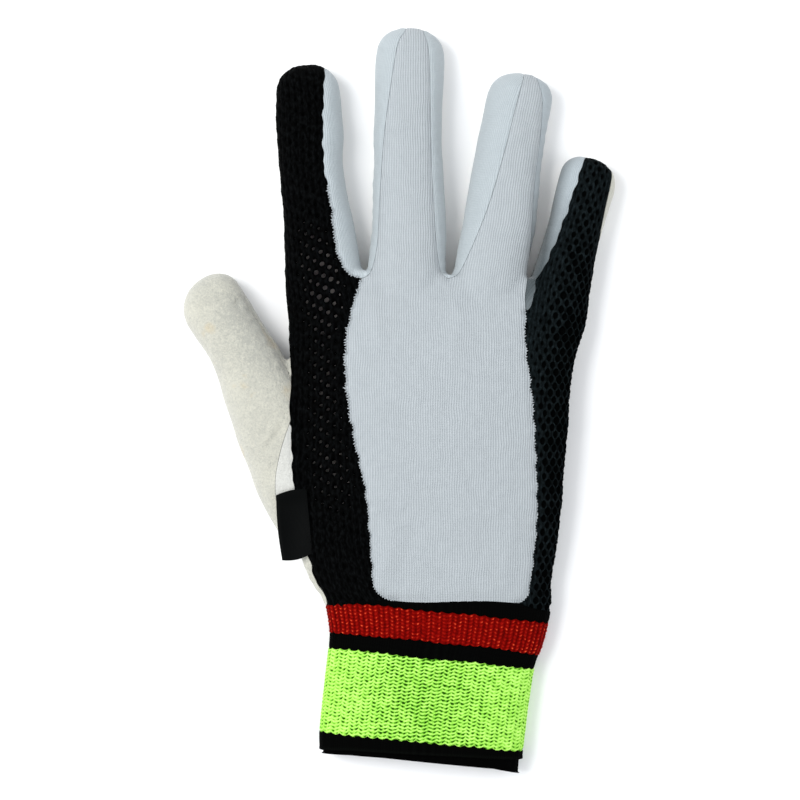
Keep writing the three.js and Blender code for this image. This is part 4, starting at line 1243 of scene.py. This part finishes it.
def cuff_band(name, node, top, bottom, rows, relief, swell, material, slot):
    """One colour of the cuff, between two lines of row numbers, closed to a tube with a wall."""
    share = np.linspace(0, 1, rows)[:, None]
    level = top[None, :] * (1 - share) + bottom[None, :] * share
    level = np.clip(level, 0, len(cuff_grid) - 1.001)
    low = level.astype(int)
    part = (level - low)[:, :, None]
    columns = np.arange(CUFF_COLUMNS)[None, :]
    at = cuff_grid[low, columns] * (1 - part) + cuff_grid[low + 1, columns] * part
    across = np.roll(at, -1, axis=1) - np.roll(at, 1, axis=1)
    along = np.gradient(at, axis=0)
    normal = np.cross(across, along)
    normal /= np.maximum(np.linalg.norm(normal, axis=2), 1e-9)[:, :, None]
    if np.mean(normal[:, CUFF_COLUMNS // 4, 2]) < 0:
        normal = -normal
    travelled = np.concatenate([np.zeros((1, CUFF_COLUMNS)),
                                np.cumsum(np.linalg.norm(np.diff(at, axis=0), axis=2), axis=0)])
    around = np.broadcast_to(around_cuff[None, :], travelled.shape)
    loops = relief(around, travelled)
    rib = 0.5 + 0.5 * np.cos(2 * np.pi * around / RIB)
    edge = np.minimum(travelled, travelled[-1][None, :] - travelled)
    round_off = np.sqrt(1 - (1 - np.clip(edge / BAND_EDGE, 0, 1)) ** 2)
    height = (swell + RIB_RELIEF * rib + LOOP_RELIEF * loops) * round_off - BAND_SINK
    outer = at + normal * height[:, :, None]
    inner = at[[0, -1]] - normal[[0, -1]] * BAND_WALL
    outer[:, :, 2] = np.maximum(outer[:, :, 2], 0.05)
    inner[:, :, 2] = np.maximum(inner[:, :, 2], 1.4)
    points_here = np.vstack([outer.reshape(-1, 3), inner[::-1].reshape(-1, 3)])
    levels = rows + 2
    k = np.arange(CUFF_COLUMNS)
    faces = []
    for row in range(levels):
        below = (row + 1) % levels
        a, b = row * CUFF_COLUMNS + k, row * CUFF_COLUMNS + (k + 1) % CUFF_COLUMNS
        c, d = below * CUFF_COLUMNS + (k + 1) % CUFF_COLUMNS, below * CUFF_COLUMNS + k
        faces.append(np.column_stack([a, b, c, d]))
    cloth = np.vstack([np.column_stack([around.ravel(), travelled.ravel()]),
                       np.zeros((2 * CUFF_COLUMNS, 2))])
    piece = make_piece(name, np.column_stack([points_here, cloth]), np.vstack(faces), [material], sharp=80)
    make_active(piece)
    edit_all(bpy.ops.mesh.normals_make_consistent, inside=False)
    stand = piece.data.attributes.new("loop", "FLOAT", "POINT")
    stand.data.foreach_set("value", np.concatenate([loops.ravel(), np.zeros(2 * CUFF_COLUMNS)]))
    length = float(travelled[-1].mean())
    flat = (CUFF_GIRTH, max(length, 10.0))
    place(piece, [node], slot, flat, min(CUFF_GIRTH * length, flat[0] * flat[1]) * MM * MM)


def make_yarn(name, gap_shade, low, body, tip):
    """Looped yarn: painted shade between the loops, full colour on them and a painted highlight at their
    tips, all by the loop's height.
    """
    material, tree = new_material(name)
    loop = add_node(tree, "ShaderNodeAttribute", {"attribute_name": "loop"})
    cloth = add_node(tree, "ShaderNodeUVMap", {"uv_map": "cloth"})
    fibres = add_node(tree, "ShaderNodeTexNoise",
                      inputs={"Vector": cloth.outputs["UV"], "Scale": 2.4, "Detail": 4.0})
    uneven = add_node(tree, "ShaderNodeMath", {"operation": "MULTIPLY_ADD"},
                      {0: fibres.outputs[0], 1: 0.5, 2: -0.25})
    rise = add_node(tree, "ShaderNodeMath", {"operation": "ADD"}, {0: loop.outputs["Fac"],
                                                                 1: uneven.outputs[0]})
    # Painted light: the colour follows the loop's height, painted shade in the gaps and a painted highlight
    # on the tips.
    shading_ramp = add_node(tree, "ShaderNodeValToRGB", inputs={"Fac": rise.outputs[0]})
    stops = shading_ramp.color_ramp.elements
    stops[0].position, stops[0].color = 0.05, srgb(gap_shade)
    stops[1].position, stops[1].color = 1.0, srgb(tip)
    stops.new(0.34).color = srgb(low)
    stops.new(0.66).color = srgb(body)
    bump = add_node(tree, "ShaderNodeBump",
                    inputs={"Height": fibres.outputs[0], "Distance": 0.2 * MM, "Strength": 0.7})
    shader = add_node(tree, "ShaderNodeBsdfPrincipled",
                      inputs={"Base Color": shading_ramp.outputs["Color"], "Roughness": 0.8,
                              "Specular IOR Level": 0.02, "Normal": bump.outputs[0]})
    finish_material(tree, shader)
    return material


# Each yarn: painted shade in the gaps, its low and full colour, and a painted highlight at the tips.
black_yarn = make_yarn("black_elastic_yarn", "#010101", "#030403", "#070807", "#101110")
red_yarn = make_yarn("red_looped_yarn", "#240000", "#6C0301", "#921008", "#EC5E34")
lime_yarn = make_yarn("lime_looped_yarn", "#0A2602", "#478A18", "#98DA4E", "#CEFA88")
print("yarns:", black_yarn.name, red_yarn.name, lime_yarn.name)

# %% [markdown]
# ## The five bands
# The lines between the colours are scalloped by the ribs, as each rib is knitted a little longer
# in its middle. The hem is turned up once, so its mouth shows two layers, one behind the other.

# %% The five bands
SCALLOP = 0.55
HEM_STEP = 1.1  # how far the hem's lower layer stands back
join_line = np.vstack([[(-60.0, -64.0)], trimmed("wrist_left")[1:], trimmed("wrist_back")[1:],
                       trimmed("wrist_right")[1:]])
scallop = SCALLOP * np.abs(np.sin(np.pi * around_cuff / RIB)) / CUFF_ROW
marks = {name: line_rows(line) for name, line in CUFF_LINES.items()}
for name in ("red_top", "red_bottom", "lime_top", "lime_bottom"):
    marks[name] += scallop
layer_share = (marks["hem_layer"] - marks["lime_bottom"]) / (marks["mouth"] - marks["lime_bottom"])


def layered(around, along):
    """The hem: a short layer over a longer one that stands back from it."""
    past = along - layer_share[None, :] * along[-1][None, :]
    lip = np.exp(-((past + 0.5) / 0.5) ** 2)
    return fine_rib(around, along) + 0.3 * lip - HEM_STEP / LOOP_RELIEF * step_up(past, -0.1, 0.25)


# Piece, node, first and last line, rows of points, pattern, swell in mm, yarn and slot
BANDS = [
    ("cuff_join", "cuff_join_band", line_rows(join_line), marks["red_top"], 16, fine_rib, 0.2,
     black_yarn, "black_yarn"),
    ("cuff_red", "cuff_red_band", marks["red_top"], marks["red_bottom"], 48, dotted, 0.15,
     red_yarn, "red_yarn"),
    ("cuff_black", "cuff_black_band", marks["red_bottom"], marks["lime_top"], 12, fine_rib, 0.15,
     black_yarn, "black_yarn"),
    ("cuff_lime", "cuff_lime_band", marks["lime_top"], marks["lime_bottom"], 136, looped, 0.0,
     lime_yarn, "lime_yarn"),
    ("cuff_hem_edge", "cuff_hem", marks["lime_bottom"], marks["mouth"], 40, layered, 0.3,
     black_yarn, "black_yarn"),
]
for band in BANDS:
    cuff_band(*band)

# %% [markdown]
# ## Stitches on the edge of the white cloth
# The white jersey is overcast where it meets the black mesh. Its white thread shows as a row of
# small teeth, one a millimetre, that reach over the black edge. A bump couldn't cross the seam,
# so every stitch is a short bent thread, laid across the seam on the skin. They are one mesh.

# %% Stitches on the edge of the white cloth
STITCH_STEP = 0.95
STITCH_SIDES = 6
STITCH_LIFT = (0.05, 0.34, 0.10)  # over the skin at its outer end, at the seam and at its inner end


def surface_height(x, y):
    """Height of the skin straight under a point, or of the table where there is none."""
    hit = skin_tree.ray_cast(Vector((x, y, 60.0)), Vector((0, 0, -1)))[0]
    return hit.z if hit else 0.0


def bent_thread(path, radii):
    """Rings of points along a short path, closed at both ends."""
    tangents = np.gradient(path, axis=0)
    tangents /= np.linalg.norm(tangents, axis=1)[:, None]
    side = np.cross(tangents, (0, 0, 1.0))
    side /= np.linalg.norm(side, axis=1)[:, None]
    up = np.cross(side, tangents)
    turn = np.linspace(0, 2 * np.pi, STITCH_SIDES, endpoint=False)
    rings = (path[:, None] + radii[:, None, None] * (side[:, None] * np.cos(turn)[None, :, None]
                                                     + up[:, None] * np.sin(turn)[None, :, None]))
    faces = []
    for level in range(len(path) - 1):
        for k in range(STITCH_SIDES):
            a, b = level * STITCH_SIDES + k, level * STITCH_SIDES + (k + 1) % STITCH_SIDES
            faces += [(a, b, b + STITCH_SIDES), (a, b + STITCH_SIDES, a + STITCH_SIDES)]
    last = (len(path) - 1) * STITCH_SIDES
    for k in range(1, STITCH_SIDES - 1):
        faces += [(0, k + 1, k), (last, last + k, last + k + 1)]
    return rings.reshape(-1, 3), np.array(faces)


def stitch_rows(seams, reach_in, reach_out, radius, seed):
    """Stitches across seams. seams gives each its side, 1 where the white cloth is on the left of
    the line, the highest y that is stitched, and how long its stitches are."""
    rng = np.random.default_rng(seed)
    all_points, all_faces, total = [], [], 0
    for name, (side, highest, scale) in seams.items():
        line = LINES[name]
        lengths = np.concatenate([[0], np.cumsum(np.hypot(*np.diff(line, axis=0).T))])
        for at in np.arange(0.6, lengths[-1] - 0.6, STITCH_STEP):
            at += rng.uniform(-0.18, 0.18)
            x, y = np.interp(at, lengths, line[:, 0]), np.interp(at, lengths, line[:, 1])
            if y > highest:
                continue
            short = scale * (0.3 + 0.7 * step_up(y, -56.0, 8.0))
            ahead_x = np.interp(at + 0.5, lengths, line[:, 0]) - np.interp(at - 0.5, lengths, line[:, 0])
            ahead_y = np.interp(at + 0.5, lengths, line[:, 1]) - np.interp(at - 0.5, lengths, line[:, 1])
            way = np.array([-ahead_y, ahead_x]) * side * short / math.hypot(ahead_x, ahead_y)
            slant = np.array([ahead_x, ahead_y]) * rng.uniform(-0.6, 0.8)
            reach = np.array([-reach_out * rng.uniform(0.1, 2.3), 0, reach_in])
            spots = [(x + way[0] * r + slant[0] * r, y + way[1] * r + slant[1] * r) for r in reach]
            heights = [surface_height(*spot) for spot in spots]
            if min(heights) < 2.0:
                continue
            path = np.array([(sx, sy, sz + up) for (sx, sy), sz, up in zip(spots, heights, STITCH_LIFT)])
            fine = np.linspace(0, 2, 5)
            path = np.column_stack([np.interp(fine, [0, 1, 2], path[:, k]) for k in range(3)])
            rings, faces = bent_thread(path, radius * np.array([0.45, 0.9, 1.0, 0.9, 0.5]))
            all_points.append(rings)
            all_faces.append(faces + total)
            total += len(rings)
    return np.vstack(all_points), np.vstack(all_faces)


STITCHED = {"white_left": (1, 999, 0.9), "white_right": (-1, 999, 0.6), "index_inner": (1, 70, 0.9)}
stitch_points, stitch_faces = stitch_rows(STITCHED, reach_in=0.7, reach_out=0.34, radius=0.21, seed=5)
cloth = np.column_stack([stitch_points, stitch_points[:, :2]])
stitches = make_piece("seam_stitches", cloth, stitch_faces, [white_jersey], sharp=60)
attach(stitches, "root")
place(white_back, ["back_panel"], "white_knit", (62, 190), back_area, with_pieces=[stitches])
print("stitches:", len(stitch_points) // (5 * STITCH_SIDES))

# %% [markdown]
# ## The side label
# A short satin tape is folded in half and caught in the seam at the edge of the mesh, so its fold
# sticks out towards the thumb. It is a flat grid, rolled over at the fold and laid on the hand.
# Satin is woven with long floats, so it has a low sheen that runs along the tape.

# %% The side label
LABEL_CORNERS = np.array([(-40.0, -30.7), (-30.2, -28.4), (-38.2, -52.0), (-28.4, -49.6)])
LABEL_LAYER_GAP = 0.9
LABEL_COLUMNS = 36
LABEL_LINES = 18
LABEL_FLAT = (20, 22)
LABEL_THICKNESS = 0.3
LABEL_SEAT, LABEL_TILT = (-34.3, -28.5, 16.2), (0.08, 0.19)
SATIN_STEP = 0.35  # distance between the floats of the weave


def label_plane(x, y):
    seat_x, seat_y, seat_z = LABEL_SEAT
    return seat_z + LABEL_TILT[0] * (x - seat_x) + LABEL_TILT[1] * (y - seat_y)


def make_satin():
    """Black satin tape: fine floats along its length, a little shiny."""
    material, tree = new_material("black_satin_tape")
    cloth_map = add_node(tree, "ShaderNodeUVMap", {"uv_map": "cloth"})
    split = add_node(tree, "ShaderNodeSeparateXYZ", inputs={0: cloth_map.outputs["UV"]})
    ribs = add_node(tree, "ShaderNodeMath", {"operation": "MULTIPLY"},
                    {0: split.outputs["Y"], 1: 2 * math.pi / SATIN_STEP})
    wave = add_node(tree, "ShaderNodeMath", {"operation": "SINE"}, {0: ribs.outputs[0]})
    bump = add_node(tree, "ShaderNodeBump",
                    inputs={"Height": wave.outputs[0], "Distance": 0.03 * MM, "Strength": 0.6})
    shader = add_node(tree, "ShaderNodeBsdfPrincipled",
                      inputs={"Base Color": srgb("#020303"), "Roughness": 0.42, "Specular IOR Level": 0.04,
                              "Normal": bump.outputs[0]})
    finish_material(tree, shader)
    return material


bpy.ops.mesh.primitive_grid_add(x_subdivisions=LABEL_COLUMNS, y_subdivisions=LABEL_LINES, size=2)
label = bpy.context.object
label.name = "side_label_tape"
label.data.name = "side_label_tape"
label_uv = []
for vertex in label.data.vertices:
    across, down = (vertex.co.x + 1) / 2, (1 - vertex.co.y) / 2
    on_top = across < 0.5
    reach = 1 - across * 2 if on_top else across * 2 - 1
    fold = math.sqrt(max(0.0, 1 - (1 - min(reach / 0.06, 1)) ** 2))
    left = LABEL_CORNERS[0] + (LABEL_CORNERS[2] - LABEL_CORNERS[0]) * down
    right = LABEL_CORNERS[1] + (LABEL_CORNERS[3] - LABEL_CORNERS[1]) * down
    x, y = left + (right - left) * reach
    x -= 0.5 * math.sin(math.pi * down) * (1 - reach)
    y += 0.9 * math.sin(math.pi * reach) * (0.5 * (1 - down) - down ** 3) - 0.5 * (1 - down) * reach ** 6
    sag = -0.5 * math.sin(math.pi * reach) * math.sin(math.pi * down)
    pinch = 1 - 0.55 * reach ** 3
    curl = 0.55 * math.exp(-((down - 0.03) / 0.09) ** 2)
    half = LABEL_LAYER_GAP / 2 * fold * pinch * (1 if on_top else -1)
    z = label_plane(x, y) + 0.55 + sag + half + curl * (0.6 if on_top else 0.2)
    vertex.co = (x * MM, y * MM, z * MM)
    label_uv.append((across * LABEL_FLAT[0], down * LABEL_FLAT[1]))
uv_layer = label.data.uv_layers.active or label.data.uv_layers.new(name="cloth")
uv_layer.name = "cloth"
for loop in label.data.loops:
    uv_layer.data[loop.index].uv = label_uv[loop.vertex_index]
label.data.materials.append(make_satin())
label.data.polygons.foreach_set("use_smooth", [True] * len(label.data.polygons))
edit_all(bpy.ops.mesh.normals_make_consistent, inside=False)
thicken(label, LABEL_THICKNESS)
place(label, ["side_label"], "black_satin", LABEL_FLAT, LABEL_FLAT[0] * LABEL_FLAT[1] * MM * MM)
